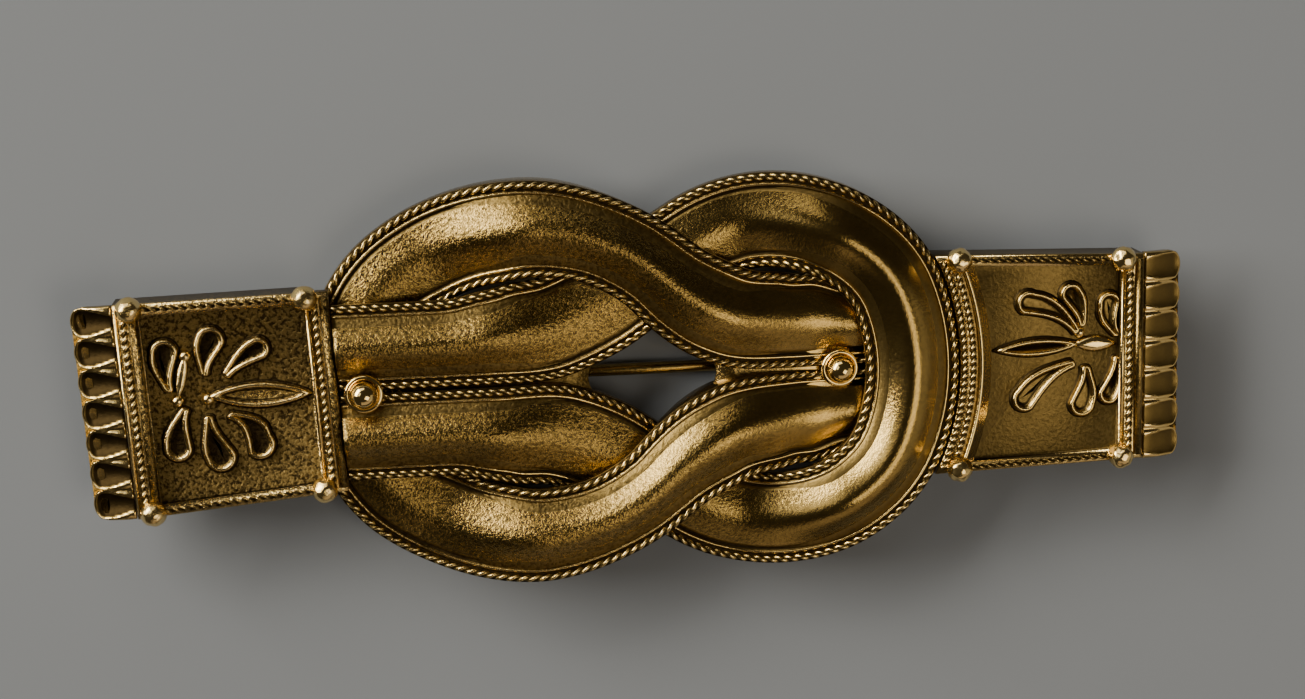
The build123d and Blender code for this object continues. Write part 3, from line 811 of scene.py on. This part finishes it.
def leaf_outline(leaf, ball_y, inward):
    """Points round a leaf, some way in: a narrow root, two bowed sides and a round end."""
    root, tip, along, side = leaf_axis(leaf, ball_y)
    end_radius = leaf.width * BALL_X / 2
    span = (tip - root).length - end_radius
    bow = leaf.bow * (tip - root).length * 4

    def middle_line(share):
        return root + along * span * share + side * bow * share * (1 - share)

    def reach(share):
        return between(LEAF_ROOT_RADIUS, end_radius, eased(0, 1, share)) - inward

    def cap(share, radius, steps, way, flattening):
        return [
            middle_line(share)
            + side * way * radius * math.cos(math.pi * index / steps)
            + along * way * radius * math.sin(math.pi * index / steps) * flattening
            for index in range(1, steps)
        ]

    shares = [between(LEAF_START, 1, index / LEAF_STEPS) for index in range(LEAF_STEPS + 1)]
    points = [middle_line(share) + side * reach(share) for share in shares]
    points += cap(1, end_radius - inward, LEAF_STEPS, 1, 1)
    points += [middle_line(share) - side * reach(share) for share in reversed(shares)]
    return points + cap(LEAF_START, LEAF_ROOT_RADIUS - inward, ROOT_STEPS, -1, ROOT_FLATTENING)


def spindle_outline(leaf, ball_y, inward):
    """Points round the long leaf, some way in: two bowed sides between two points."""
    root, tip, along, side = leaf_axis(leaf, ball_y)
    root, tip = root + along * 2 * inward, tip - along * 2 * inward
    points = []
    for way, start, end in ((1, root, tip), (-1, tip, root)):
        for index in range(SPINDLE_STEPS):
            share = index / SPINDLE_STEPS
            bow = math.sin(math.pi * share) ** SPINDLE_FULLNESS * (leaf.width * BALL_X / 2 - inward)
            points.append(start.lerp(end, share) + side * way * bow)
    return points


def relief_leaf(mesh, outline, leaf, ball_y, plaque, hollow_wear, rubbing):
    """A leaf with a raised round rim and a slightly hollow middle, its foot sunk in the panel."""
    width, height = plaque.leaf_rim_width, plaque.leaf_rim_height
    panel_top = FRAME_TOP - plaque.panel_recess
    # A line of painted shadow round the leaf's foot, its rim rubbed and painted bright, its hollow
    # painted dark as shade.
    profile = (
        # inward distance from the outline, height over the panel, wear and painted light
        (-0.16, -0.03, -1.0),
        (-0.12, 0.015, -1.0),
        (-0.02, 0.04, -1.0),
        (0.0, height * 0.45, 0.0),
        (width * 0.22, height * 0.88, 0.8 * rubbing),
        (width * 0.45, height, rubbing),
        (width * 0.7, height * 0.85, 0.7 * rubbing),
        (width * 0.98, height * 0.25, -0.4),
        (width * 1.1, 0.05, -1.0),
        (width * 1.4, 0.03, hollow_wear),
    )
    levels = [
        rows_at(outline(leaf, ball_y, inward), panel_top + rise, wear) for inward, rise, wear in profile
    ]
    stack(mesh, levels, footed=False)


def palmette(mesh, parts, balls, plaque):
    """A palmette's leaves, its spindle and its stem, and the knobs at their roots."""
    ball_y = sum(balls) / 2
    panel_top = FRAME_TOP - plaque.panel_recess
    for leaf in parts.leaves:
        relief_leaf(mesh, leaf_outline, leaf, ball_y, plaque, parts.hollow_wear, parts.rubbing)
    relief_leaf(mesh, spindle_outline, parts.spindle, ball_y, plaque, 0, parts.rubbing)
    half_width = parts.stem.width * BALL_X / 2
    levels = [
        rows_at(spindle_outline(parts.stem, ball_y, share * half_width), panel_top + rise, wear)
        for share, rise, wear in STEM_PROFILE
    ]
    stack(mesh, levels, footed=False)
    for x, y in parts.knobs:
        made = bmesh.ops.create_uvsphere(
            mesh, u_segments=KNOB_SIDES, v_segments=KNOB_RINGS, radius=KNOB_RADIUS
        )["verts"]
        rub(mesh, made, KNOB_WEAR)
        bmesh.ops.translate(mesh, verts=made, vec=(x * BALL_X, y * ball_y, panel_top + KNOB_LIFT))


def straight_border(mesh, rope_x, balls, plaque):
    """Fine line, rope and plain moulding, from left to right."""

    def run(offset):
        y = ball_line(balls, rope_x + offset)
        return straight_path((rope_x + offset, -y, FRAME_TOP), (rope_x + offset, y, FRAME_TOP))

    half_round(mesh, run(LINE_OFFSET), LINE_RADIUS, STRAIGHT_LINE_SHINE)
    rope(mesh, run(0), plaque.border_rope_radius, *BORDER_TWIST)
    half_round(mesh, run(MOULDING_OFFSET), MOULDING_RADIUS, MOULDING_SHINE)


def plaque_trim(mesh, balls, plaque, lumps):
    """Side ropes and corner balls."""
    inset = plaque.frame_margin - plaque.frame_wall / 2
    for side in (-1, 1):
        start = (-BALL_X, side * (balls[0] + inset), FRAME_TOP)
        end = (BALL_X, side * (balls[1] + inset), FRAME_TOP)
        rope(mesh, straight_path(start, end), plaque.side_rope_radius, *SIDE_TWIST)
        for x in (-BALL_X, BALL_X):
            centre = (x, side * ball_line(balls, x), FRAME_TOP + BALL_LIFT)
            ball(mesh, centre, plaque.ball_radius * BALL_SHARE, lumps, 1)


def left_plaque(plaque):
    mesh = new_mesh()
    margin, wall = plaque.frame_margin, plaque.frame_wall
    low_x = LEFT_OUTER_ROPE + LINE_EDGE
    high_x = LEFT_INNER_ROPE + MOULDING_EDGE
    panel_low = LEFT_OUTER_ROPE + MOULDING_EDGE
    panel_high = LEFT_INNER_ROPE + LINE_EDGE
    outline = four_corners(low_x, high_x, LEFT_BALLS, margin)
    hollow = four_corners(low_x + wall, high_x - wall, LEFT_BALLS, margin - wall)
    panel = four_corners(panel_low, panel_high, LEFT_BALLS, margin - wall)
    tray(mesh, outline, panel, hollow, plaque)
    cut_underpass(mesh, high_x - UNDERPASS_LENGTH, UNDERPASS_HEIGHT)
    for rope_x in (LEFT_OUTER_ROPE, LEFT_INNER_ROPE):
        straight_border(mesh, rope_x, LEFT_BALLS, plaque)
    plaque_trim(mesh, LEFT_BALLS, plaque, LEFT_LUMPS)
    palmette(mesh, LEFT_PALMETTE, LEFT_BALLS, plaque)
    return mesh


def right_plaque(plaque, band):
    """The right plaque: its left side and two ropes and a line there follow the right bight."""
    mesh = new_mesh()
    margin, wall = plaque.frame_margin, plaque.frame_wall
    centre_x = KNOT_REACH * (1 - RIGHT_ROUTE.end_radius) - RIGHT_PLACE.translation.x
    bight = KNOT_REACH * RIGHT_ROUTE.end_radius + band.band_half_width + ROPE_SEAT + SEAT_GAP
    high_x = RIGHT_OUTER_ROPE + MOULDING_EDGE
    first_rope = bight + CURVED_ROPE_RADIUS
    panel_radius = first_rope + CURVED_LINE_SPACING * CURVED_LINE_COUNT
    panel_high = RIGHT_OUTER_ROPE + LINE_EDGE
    outline = round_edge_corners(bight, centre_x, high_x, RIGHT_BALLS, margin)
    hollow = round_edge_corners(bight + wall, centre_x, high_x - wall, RIGHT_BALLS, margin - wall)
    panel = round_edge_corners(panel_radius, centre_x, panel_high, RIGHT_BALLS, margin - wall)
    tray(mesh, outline, panel, hollow, plaque)
    straight_border(mesh, RIGHT_OUTER_ROPE, RIGHT_BALLS, plaque)
    for index in range(CURVED_LINE_COUNT):
        radius = first_rope + CURVED_LINE_SPACING * index
        reach = math.asin(RIGHT_BALLS[0] / radius)
        path = arc_path((centre_x, 0, FRAME_TOP), radius, -reach, reach)
        if index < CURVED_LINE_COUNT - 1:
            rope(mesh, path, CURVED_ROPE_RADIUS, *CURVED_TWIST)
        else:
            half_round(mesh, path, LINE_RADIUS, CURVED_LINE_SHINE)
    plaque_trim(mesh, RIGHT_BALLS, plaque, RIGHT_LUMPS)
    palmette(mesh, RIGHT_PALMETTE, RIGHT_BALLS, plaque)
    return mesh


# Materials


def add_node(tree, kind, settings=(), links=()):
    """Adds a node, sets its values and sockets, and links sockets to (node, output) pairs."""
    node = tree.nodes.new(kind)
    for key, value in dict(settings).items():
        if isinstance(key, str) and hasattr(node, key):
            setattr(node, key, value)
        else:
            node.inputs[key].default_value = value
    for key, (source, output) in dict(links).items():
        tree.links.new(source.outputs[output], node.inputs[key])
    return node


# Clouds of tone in the plate: their width, their shade and how far they cover it
CLOUD_WIDTH, CLOUD_SHADE, CLOUD_COVER = 2.4, 0.55, 0.45
# The cast is rougher at the left: its grain is full up to one X, and fades to a share at another
COARSE_TO, SMOOTH_FROM, SMOOTH_SHARE = -4.0, 12.0, 0.3
# How far patina and painted shade darken the plate, and how rough they make it
PATINA_AND_SHADE_COVER, PATINA_ROUGHNESS = 0.94, 0.35
CREST_RELIEF = 0.25  # share of the grain's depth that is left where the plate is rubbed
NOISE_DETAIL = 3.0

# Setting of the plate's colour, roughness of plain and of rubbed plate, depth of its grain, and how
# dark the pits are
Finish = namedtuple("Finish", "body roughness crest_roughness grain_depth pits")
FINISHES = {
    # Cast, plated and never smoothed: small pits break the reflections into a fine sparkle.
    "cast matt gold plate": Finish("plate", 0.17, 0.18, 0.08, 0.5),
    # The same cast, its ground left rougher behind the relief: dull and speckled beside bright rims.
    "cast plaque gold plate": Finish("plate", 0.17, 0.18, 0.16, 0.85),
    # Cast, then brushed before it was plated: soft broad reflections along the tongues and the pin.
    "satin gold plate": Finish("plate", 0.22, 0.18, 0.03, 0.2),
    # Turned balls, burnished once plated: small hard highlights.
    "polished gold plate": Finish("polished", 0.14, 0.12, 0.004, 0.0),
}


def gold_plate(name, finish, settings):
    """Brass plated with gold: metallic, matt where the cast grain was left, bright where it was rubbed
    and where a highlight is painted, and dark where the tarnished film stayed in the grooves and where
    shade is painted. A float attribute on the vertices, for worn metal and painted light, says which is
    where.

    The real grain is about 0.1 mm, too fine for the render, so the grain setting draws it coarser.
    """
    material = bpy.data.materials.new(name)
    material.use_nodes = True
    tree = material.node_tree
    tree.nodes.clear()
    place = add_node(tree, "ShaderNodeTexCoord")
    nodes = {
        "wear": add_node(tree, "ShaderNodeAttribute", {"attribute_name": "wear"}),
        "axes": add_node(tree, "ShaderNodeSeparateXYZ", {}, {"Vector": (place, "Object")}),
    }
    for label, width, harshness in (("clouds", CLOUD_WIDTH, 0.6), ("grain", settings.grain, 0.7)):
        values = {"Scale": 1 / (width * MM), "Detail": NOISE_DETAIL, "Roughness": harshness}
        nodes[label] = add_node(tree, "ShaderNodeTexNoise", values, {"Vector": (place, "Object")})
    # Each row reads a value between its first two ends, and gives one between its last two.
    for label, source, output, ends in (
        # Patina and painted shade where the mark falls under 0.1, rubbed plate and painted highlight
        # over it
        ("tarnish_and_shade", "wear", "Fac", (0.1, -0.9, 0.0, PATINA_AND_SHADE_COVER)),
        ("rubbing", "wear", "Fac", (0.1, 0.9, 0.0, 1.0)),
        ("tone", "clouds", "Fac", (0.3, 0.7, 0.0, CLOUD_COVER)),
        ("coarse", "axes", "X", (COARSE_TO * MM, SMOOTH_FROM * MM, 1.0, SMOOTH_SHARE)),
        ("pits", "grain", "Fac", (0.53, 0.42, 0.0, finish.pits)),
        ("sheen", "rubbing", "Result", (0.0, 1.0, finish.roughness, finish.crest_roughness)),
        ("relief", "rubbing", "Result", (0.0, 1.0, 1.0, CREST_RELIEF)),
    ):
        values = dict(zip(("From Min", "From Max", "To Min", "To Max"), ends))
        nodes[label] = add_node(tree, "ShaderNodeMapRange", values, {"Value": (nodes[source], output)})
    pits, relief = (
        add_node(
            tree,
            "ShaderNodeMath",
            {"operation": "MULTIPLY"},
            {0: (nodes[label], "Result"), 1: (nodes["coarse"], "Result")},
        )
        for label in ("pits", "relief")
    )
    body = getattr(settings, finish.body)
    shaded = (*(value * CLOUD_SHADE for value in body), 1)
    coloured = add_node(
        tree,
        "ShaderNodeMix",
        {"data_type": "RGBA", 6: (*body, 1), 7: shaded},
        {0: (nodes["tone"], "Result")},
    )
    # Dark pits, then rubbed plate and painted highlights, then patina and painted shade
    for tint, cover, output in (
        (settings.patina, pits, "Value"),
        (settings.crest, nodes["rubbing"], "Result"),
        (settings.patina, nodes["tarnish_and_shade"], "Result"),
    ):
        coloured = add_node(
            tree,
            "ShaderNodeMix",
            {"data_type": "RGBA", 7: (*tint, 1)},
            {0: (cover, output), 6: (coloured, 2)},
        )
    roughness = add_node(
        tree,
        "ShaderNodeMath",
        {"operation": "MULTIPLY_ADD", 1: PATINA_ROUGHNESS},
        {0: (nodes["tarnish_and_shade"], "Result"), 2: (nodes["sheen"], "Result")},
    )
    bump = add_node(
        tree,
        "ShaderNodeBump",
        {"Distance": finish.grain_depth * MM},
        {"Height": (nodes["grain"], "Fac"), "Strength": (relief, "Value")},
    )
    shader = add_node(
        tree,
        "ShaderNodeBsdfPrincipled",
        {"Metallic": 1.0},
        {"Base Color": (coloured, 2), "Roughness": (roughness, "Value"), "Normal": (bump, "Normal")},
    )
    add_node(tree, "ShaderNodeOutputMaterial", {}, {"Surface": (shader, "BSDF")})
    return material


def material_for(name):
    """The named finish, made the first time that it is asked for."""
    made = bpy.data.materials.get(name)
    return made or gold_plate(name, FINISHES[name], in_mm(bpy.context.scene.brooch_finish))


# Knot and plaques


class BROOCH_OT_loops(bpy.types.Operator):
    """Builds the two interlaced bands with their twisted edge ropes"""

    bl_idname = "brooch.loops"
    bl_label = "Build the knot"

    def execute(self, context):
        band = in_mm(context.scene.brooch_band)
        gold = material_for("cast matt gold plate")
        turned = Matrix.Scale(-1, 4, (1, 0, 0))
        finish_piece(left_loop(band), "knot_left_loop", ["left_loop"], gold, turned)
        finish_piece(right_loop(band), "knot_right_loop", ["right_loop"], gold)
        return {"FINISHED"}


class BROOCH_OT_plaques(bpy.types.Operator):
    """Builds the two plaques with their palmettes, borders and corner balls"""

    bl_idname = "brooch.plaques"
    bl_label = "Build the plaques"

    def execute(self, context):
        plaque = in_mm(context.scene.brooch_plaque)
        band = in_mm(context.scene.brooch_band)
        gold = material_for("cast plaque gold plate")
        left, right = left_plaque(plaque), right_plaque(plaque, band)
        finish_piece(left, "plaque_left", ["left_plaque"], gold, LEFT_PLACE)
        finish_piece(right, "plaque_right", ["right_plaque"], gold, RIGHT_PLACE)
        return {"FINISHED"}


# Tongues

TONGUE_COUNT = 7
TONGUE_STEPS = 22  # stations along a tongue
TONGUE_SIDES = 16  # places across a tongue
TONGUE_CROWDING = 1.3  # 1 for even stations, more for closer ones near the tips
TONGUE_SEAT = 0.02
LEFT_ROOT, RIGHT_ROOT = 0.5, 0.7  # width of a hollow at its root, as a share of the tongue's
PETAL_WIDTH, PETAL_RUN = 0.93, 0.7  # its greatest width, and where on the tongue's run it gets it
PETAL_FULLNESS = 0.7  # 1 for a parabola's section, less for a flatter bottom
ROOT_DEPTH = 0.45  # of a hollow, as a share of its full depth
WEB_FALL, TIP_FALL = 0.16, 0.3
TIP_THINNING, TIP_ROUNDING, NOTCH = 0.55, 0.94, 0.28
# Where on a tongue's run its hollow deepens and closes, and its tip bends and thins
DEEPENING, CLOSING, TIP_BEND, TIP_EDGE = (0, 0.5), (0.82, 0.96), (0.94, 1), (0.9, 1)
NOTCH_SIDE = (0.86, 1)  # start and middle of the notch, on the way from a tongue's middle to the web's
RIM = (0.05, 0.3)  # shares of a hollow's depth between which its rim, rubbed and painted bright, turns to painted shade
# How dark the hollows are painted as shade, and how bright the webs are
HOLLOW_SHADE, TONGUE_WEB_WEAR = 2.4, 0.35


def tongue_point(x, y, height, tongue, start_x):
    """A point of the apron: x outward from its root, bent back as it goes out."""
    share = max(0, x) / tongue.reach
    drop = tongue.drop * share * share
    lean = math.atan2(2 * tongue.drop * share, tongue.reach)
    top = FRAME_TOP - TONGUE_SEAT - drop
    return Vector((start_x + x + height * math.sin(lean), y, top + height * math.cos(lean)))


def tongue_height(share, side, hollow, root):
    """Height, worn mark and painted light of a tongue's face: a hollow petal with a raised rim, between
    two webs.

    share runs from root to tip, and side from the middle of the tongue (0) to that of the web (1).
    """
    petal = between(root, PETAL_WIDTH, min(1, share / PETAL_RUN))
    depth = between(ROOT_DEPTH, 1, eased(*DEEPENING, share)) * (1 - eased(*CLOSING, share))
    tip_fall = TIP_FALL * eased(*TIP_BEND, share)
    if side < petal:
        inside = 1 - (side / petal) ** 2
        # The rim rubbed and painted bright, the hollow painted dark as shade
        wear = between(1, -HOLLOW_SHADE * hollow, eased(*RIM, inside * depth))
        return -hollow * depth * inside**PETAL_FULLNESS - tip_fall, wear
    web = (side - petal) / (1 - petal)
    return -WEB_FALL * web - tip_fall, between(1, TONGUE_WEB_WEAR, web)


def tongue_length(side, tongue):
    """Run from root to edge: a round tip, and a deep notch between two tips."""
    rounding = 1 - math.sqrt(max(0, 1 - (TIP_ROUNDING * side) ** 2))
    return tongue.reach - tongue.scallop * rounding - NOTCH * eased(*NOTCH_SIDE, side)


def apron(mesh, start_x, half_width, tongue, hollow, root):
    """Seven hollow tongues and the webs between them, bent back as they go out."""
    pitch = 2 * half_width / TONGUE_COUNT
    rings = []
    for station in range(TONGUE_STEPS + 1):
        share = 1 - (1 - station / TONGUE_STEPS) ** TONGUE_CROWDING
        under = -tongue.thickness * (1 - TIP_THINNING * eased(*TIP_EDGE, share))
        top, back = [], []
        for place in range(TONGUE_COUNT * TONGUE_SIDES + 1):
            y = pitch * place / TONGUE_SIDES - half_width
            side = abs(2 * (place % TONGUE_SIDES) / TONGUE_SIDES - 1)
            x = share * tongue_length(side, tongue)
            height, wear = tongue_height(share, side, hollow, root)
            top.append(Row(tongue_point(x, y, height, tongue, start_x), wear))
            back.append(Row(tongue_point(x, y, under, tongue, start_x), 0))
        rings.append(top + back[::-1])
    sweep(mesh, rings)


class BROOCH_OT_tongues(bpy.types.Operator):
    """Builds the two fringes of hollow tongues"""

    bl_idname = "brooch.tongues"
    bl_label = "Build the tongue borders"

    def execute(self, context):
        tongue = in_mm(context.scene.brooch_tongue)
        margin = in_mm(context.scene.brooch_plaque).frame_margin
        gold = material_for("satin gold plate")
        left_start = SEAT_GAP - (LEFT_OUTER_ROPE + LINE_EDGE)
        right_start = RIGHT_OUTER_ROPE + MOULDING_EDGE + SEAT_GAP
        left, right = new_mesh(), new_mesh()
        apron(left, left_start, LEFT_BALLS[0] + margin, tongue, tongue.left_hollow, LEFT_ROOT)
        apron(right, right_start, RIGHT_BALLS[1] + margin, tongue, tongue.right_hollow, RIGHT_ROOT)
        turned = LEFT_PLACE @ Matrix.Scale(-1, 4, (1, 0, 0))
        finish_piece(left, "tongues_left", ["left_tongue_border"], gold, turned)
        finish_piece(right, "tongues_right", ["right_tongue_border"], gold, RIGHT_PLACE)
        return {"FINISHED"}


# Studs

STUD_RADIUS, STUD_LUMPS, STUD_WEAR = 0.95, 0.02, 0.8
STUD_SHARE = 0.99  # radius of a stud before its lumps
COLLAR_RADIUS, COLLAR_THICKNESS, COLLAR_DROP = 1.12, 0.2, 0.42
COLLAR_SIDES, COLLAR_STEPS = 12, 40


def collar(mesh, centre):
    """A ring of solder round the foot of a stud."""
    ring = bmesh.ops.create_circle(mesh, segments=COLLAR_SIDES, radius=COLLAR_THICKNESS)["verts"]
    bmesh.ops.rotate(mesh, verts=ring, matrix=Matrix.Rotation(math.pi / 2, 3, "X"))
    bmesh.ops.translate(mesh, verts=ring, vec=centre + Vector((COLLAR_RADIUS, 0, -COLLAR_DROP)))
    bmesh.ops.spin(
        mesh,
        geom=ring + list({edge for vert in ring for edge in vert.link_edges}),
        cent=centre,
        axis=(0, 0, 1),
        angle=2 * math.pi,
        steps=COLLAR_STEPS,
        use_merge=True,
    )


def node_box(name):
    """A node's box in millimetres about the middle of the knot."""
    low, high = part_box(name)
    return Vector(low) / MM - Vector(KNOT), Vector(high) / MM - Vector(KNOT)


class BROOCH_OT_studs(bpy.types.Operator):
    """Builds the two polished studs in the middle of the knot"""

    bl_idname = "brooch.studs"
    bl_label = "Build the studs"

    def execute(self, context):
        gold = material_for("polished gold plate")
        for side in ("left", "right"):
            low, high = node_box(f"{side}_knot_stud")
            centre = Vector(((low.x + high.x) / 2, (low.y + high.y) / 2, high.z - STUD_RADIUS))
            mesh = new_mesh()
            ball(mesh, centre, STUD_RADIUS * STUD_SHARE, STUD_LUMPS, STUD_WEAR)
            geometry = mesh.verts[:] + mesh.edges[:] + mesh.faces[:]
            bmesh.ops.bisect_plane(
                mesh, geom=geometry, plane_co=(0, 0, low.z), plane_no=(0, 0, -1), clear_outer=True
            )
            fill_open_edges(mesh)
            collar(mesh, centre)
            rub(mesh, mesh.verts, STUD_WEAR)
            finish_piece(mesh, f"stud_{side}", [f"{side}_knot_stud"], gold)
        return {"FINISHED"}


# Pin

PIN_RADIUS, PIN_SIDES = 0.42, 32
PIN_POST_X, PIN_POST_RADIUS, PIN_POST_SIDES = 26.2, 0.9, 40
PIN_BAR = (1.8, 8.0, 1.2)
PIN_ROUND, PIN_ROUND_STEPS = 0.18, 3


def rod(mesh, radius, run, sides):
    """A closed round rod along Z, about the middle."""
    return bmesh.ops.create_cone(
        mesh, cap_ends=True, segments=sides, radius1=radius, radius2=radius, depth=run
    )["verts"]


class BROOCH_OT_pin(bpy.types.Operator):
    """Builds the pin: its stem, and a post and a cross bar behind each plaque"""

    bl_idname = "brooch.pin"
    bl_label = "Build the pin"

    def execute(self, context):
        recess = in_mm(context.scene.brooch_plaque).panel_recess
        mesh = new_mesh()
        level = PIN_BAR[2] / 2
        post_run = FRAME_TOP - recess - PANEL_THICKNESS - SEAT_GAP - level
        stem = rod(mesh, PIN_RADIUS, 2 * PIN_POST_X, PIN_SIDES)
        bmesh.ops.rotate(mesh, verts=stem, matrix=Matrix.Rotation(math.pi / 2, 3, "Y"))
        bmesh.ops.translate(mesh, verts=stem, vec=(0, 0, level))
        for x in (-PIN_POST_X, PIN_POST_X):
            post = rod(mesh, PIN_POST_RADIUS, post_run, PIN_POST_SIDES)
            bmesh.ops.translate(mesh, verts=post, vec=(x, 0, level + post_run / 2))
            bar = bmesh.ops.create_cube(mesh, size=1)["verts"]
            bmesh.ops.scale(mesh, verts=bar, vec=PIN_BAR)
            bmesh.ops.translate(mesh, verts=bar, vec=(x, 0, level))
            edges = list({edge for vert in bar for edge in vert.link_edges})
            bmesh.ops.bevel(
                mesh,
                geom=edges,
                offset=PIN_ROUND,
                segments=PIN_ROUND_STEPS,
                profile=0.5,
                affect="EDGES",
                material=-1,
            )
        finish_piece(mesh, "pin_and_bars", ["pin"], material_for("satin gold plate"))
        return {"FINISHED"}


# Stage

FLOOR_HALF, PAPER_ROUGHNESS = 1.5, 0.8
ROOM_COLOUR, ROOM_STRENGTH = (0.5, 0.43, 0.33, 1), 0.07

# Places in metres from the brooch's origin, widths and heights in metres, and the power's setting
Softbox = namedtuple("Softbox", "name place width height power tint")
SOFTBOXES = (
    Softbox("key softbox", (-0.63, 0.37, 0.33), 0.7, 0.27, "key_power", (1.0, 0.94, 0.8)),
    Softbox("side softbox", (-0.19, 0.69, 0.35), 0.5, 0.27, "side_power", (1.0, 0.92, 0.76)),
    Softbox("high window", (-0.45, 0.26, 0.61), 0.36, 0.2, "window_power", (1.0, 0.95, 0.84)),
    Softbox("fill softbox", (0.1, -0.33, 0.2), 0.5, 0.2, "fill_power", (1.0, 0.82, 0.68)),
    Softbox("warm card", (0.17, -0.1, 0.36), 0.2, 0.22, "card_power", (1.0, 0.88, 0.68)),
    Softbox("warm wall", (0.4, -0.12, 0.18), 0.35, 0.25, "wall_power", (1.0, 0.9, 0.74)),
)

FOCAL_PIXELS, IMAGE_WIDTH, SENSOR_WIDTH = 2330, 1305, 36
CAMERA_DISTANCE = 158.0
CAMERA_TURN, CAMERA_LIFT, CAMERA_ROLL = math.radians(6), math.radians(10.8), math.radians(-1.5)
CAMERA_RAISE, CAMERA_SHIFT = 2.0, -0.07
CLIP_START = 0.01


def paper_floor(colour):
    """A floor of uncoated paper: pressed pulp, pale and matt, so that it scatters the light evenly."""
    mesh = bmesh.new()
    bmesh.ops.create_grid(mesh, x_segments=1, y_segments=1, size=FLOOR_HALF)
    data = bpy.data.meshes.new("paper_floor")
    mesh.to_mesh(data)
    mesh.free()
    paper = bpy.data.materials.new("matt paper")
    paper.use_nodes = True
    shader = paper.node_tree.nodes["Principled BSDF"]
    shader.inputs["Base Color"].default_value = (*colour, 1)
    shader.inputs["Roughness"].default_value = PAPER_ROUGHNESS
    data.materials.append(paper)
    floor = bpy.data.objects.new("paper_floor", data)
    bpy.context.scene.collection.objects.link(floor)


def dim_studio():
    """The dark room round the softboxes."""
    world = bpy.data.worlds.new("dim studio")
    world.use_nodes = True
    background = world.node_tree.nodes["Background"]
    background.inputs["Color"].default_value = ROOM_COLOUR
    background.inputs["Strength"].default_value = ROOM_STRENGTH
    bpy.context.scene.world = world


def hang_softbox(softbox, power):
    """A rectangular light that faces the brooch."""
    light = bpy.data.lights.new(softbox.name, "AREA")
    light.shape = "RECTANGLE"
    light.size, light.size_y = softbox.width, softbox.height
    light.energy = power
    light.color = softbox.tint
    box = bpy.data.objects.new(softbox.name, light)
    bpy.context.scene.collection.objects.link(box)
    box.location = softbox.place
    box.rotation_euler = (-box.location).to_track_quat("-Z", "Y").to_euler()


def photo_camera():
    """The camera at the photograph's viewing angle."""
    turn, lift, roll = CAMERA_TURN, CAMERA_LIFT, CAMERA_ROLL
    aside, ahead = -math.sin(turn) * math.cos(lift), math.cos(turn) * math.cos(lift)
    back = Vector((aside, math.sin(lift), ahead))
    level = Vector((0, 1, 0)).cross(back).normalized()
    upright = back.cross(level)
    right = level * math.cos(roll) + upright * math.sin(roll)
    up = upright * math.cos(roll) - level * math.sin(roll)
    knot = Vector(KNOT) + Vector((0, 0, OVER_LEVEL))
    place = knot + back * CAMERA_DISTANCE + up * CAMERA_RAISE + right * CAMERA_SHIFT
    data = bpy.data.cameras.new("photo view")
    data.sensor_width = SENSOR_WIDTH
    data.lens = FOCAL_PIXELS * SENSOR_WIDTH / IMAGE_WIDTH
    data.clip_start = CLIP_START
    camera = bpy.data.objects.new("photo view", data)
    turned = Matrix((right, up, back)).transposed().to_4x4()
    camera.matrix_world = Matrix.Translation(place * MM) @ turned
    bpy.context.scene.collection.objects.link(camera)
    bpy.context.scene.camera = camera


class BROOCH_OT_stage(bpy.types.Operator):
    """Sets the floor, the softboxes and the camera"""

    bl_idname = "brooch.stage"
    bl_label = "Set the stage"

    def execute(self, context):
        stage = context.scene.brooch_stage
        paper_floor(stage.floor)
        dim_studio()
        for softbox in SOFTBOXES:
            hang_softbox(softbox, getattr(stage, softbox.power))
        photo_camera()
        return {"FINISHED"}


# Panel


class BROOCH_PT_panel(bpy.types.Panel):
    bl_idname = "BROOCH_PT_panel"
    bl_label = "Hercules knot brooch"
    bl_space_type = "VIEW_3D"
    bl_region_type = "UI"
    bl_category = "Brooch"

    def draw(self, context):
        for operator, group in STEPS:
            self.layout.operator(operator.bl_idname)
            settings = getattr(context.scene, group, None)
            if settings:
                for name in settings.__annotations__:
                    self.layout.prop(settings, name)


STEPS = (
    (BROOCH_OT_loops, "brooch_band"),
    (BROOCH_OT_plaques, "brooch_plaque"),
    (BROOCH_OT_tongues, "brooch_tongue"),
    (BROOCH_OT_studs, "brooch_finish"),
    (BROOCH_OT_pin, ""),
    (BROOCH_OT_stage, "brooch_stage"),
)
GROUPS = {
    "brooch_band": BroochBandSettings,
    "brooch_plaque": BroochPlaqueSettings,
    "brooch_tongue": BroochTongueSettings,
    "brooch_finish": BroochFinishSettings,
    "brooch_stage": BroochStageSettings,
}


def register():
    for group in GROUPS.values():
        bpy.utils.register_class(group)
    for operator, _ in STEPS:
        bpy.utils.register_class(operator)
    bpy.utils.register_class(BROOCH_PT_panel)
    for name, group in GROUPS.items():
        setattr(bpy.types.Scene, name, bpy.props.PointerProperty(type=group))


def unregister():
    for name in GROUPS:
        delattr(bpy.types.Scene, name)
    bpy.utils.unregister_class(BROOCH_PT_panel)
    for operator, _ in reversed(STEPS):
        bpy.utils.unregister_class(operator)
    for group in reversed(list(GROUPS.values())):
        bpy.utils.unregister_class(group)


def main():
    """Builds the brooch and its stage."""
    register()
    for operator, _ in STEPS:
        namespace, name = operator.bl_idname.split(".")
        getattr(getattr(bpy.ops, namespace), name)()


if __name__ == "__main__":
    main()
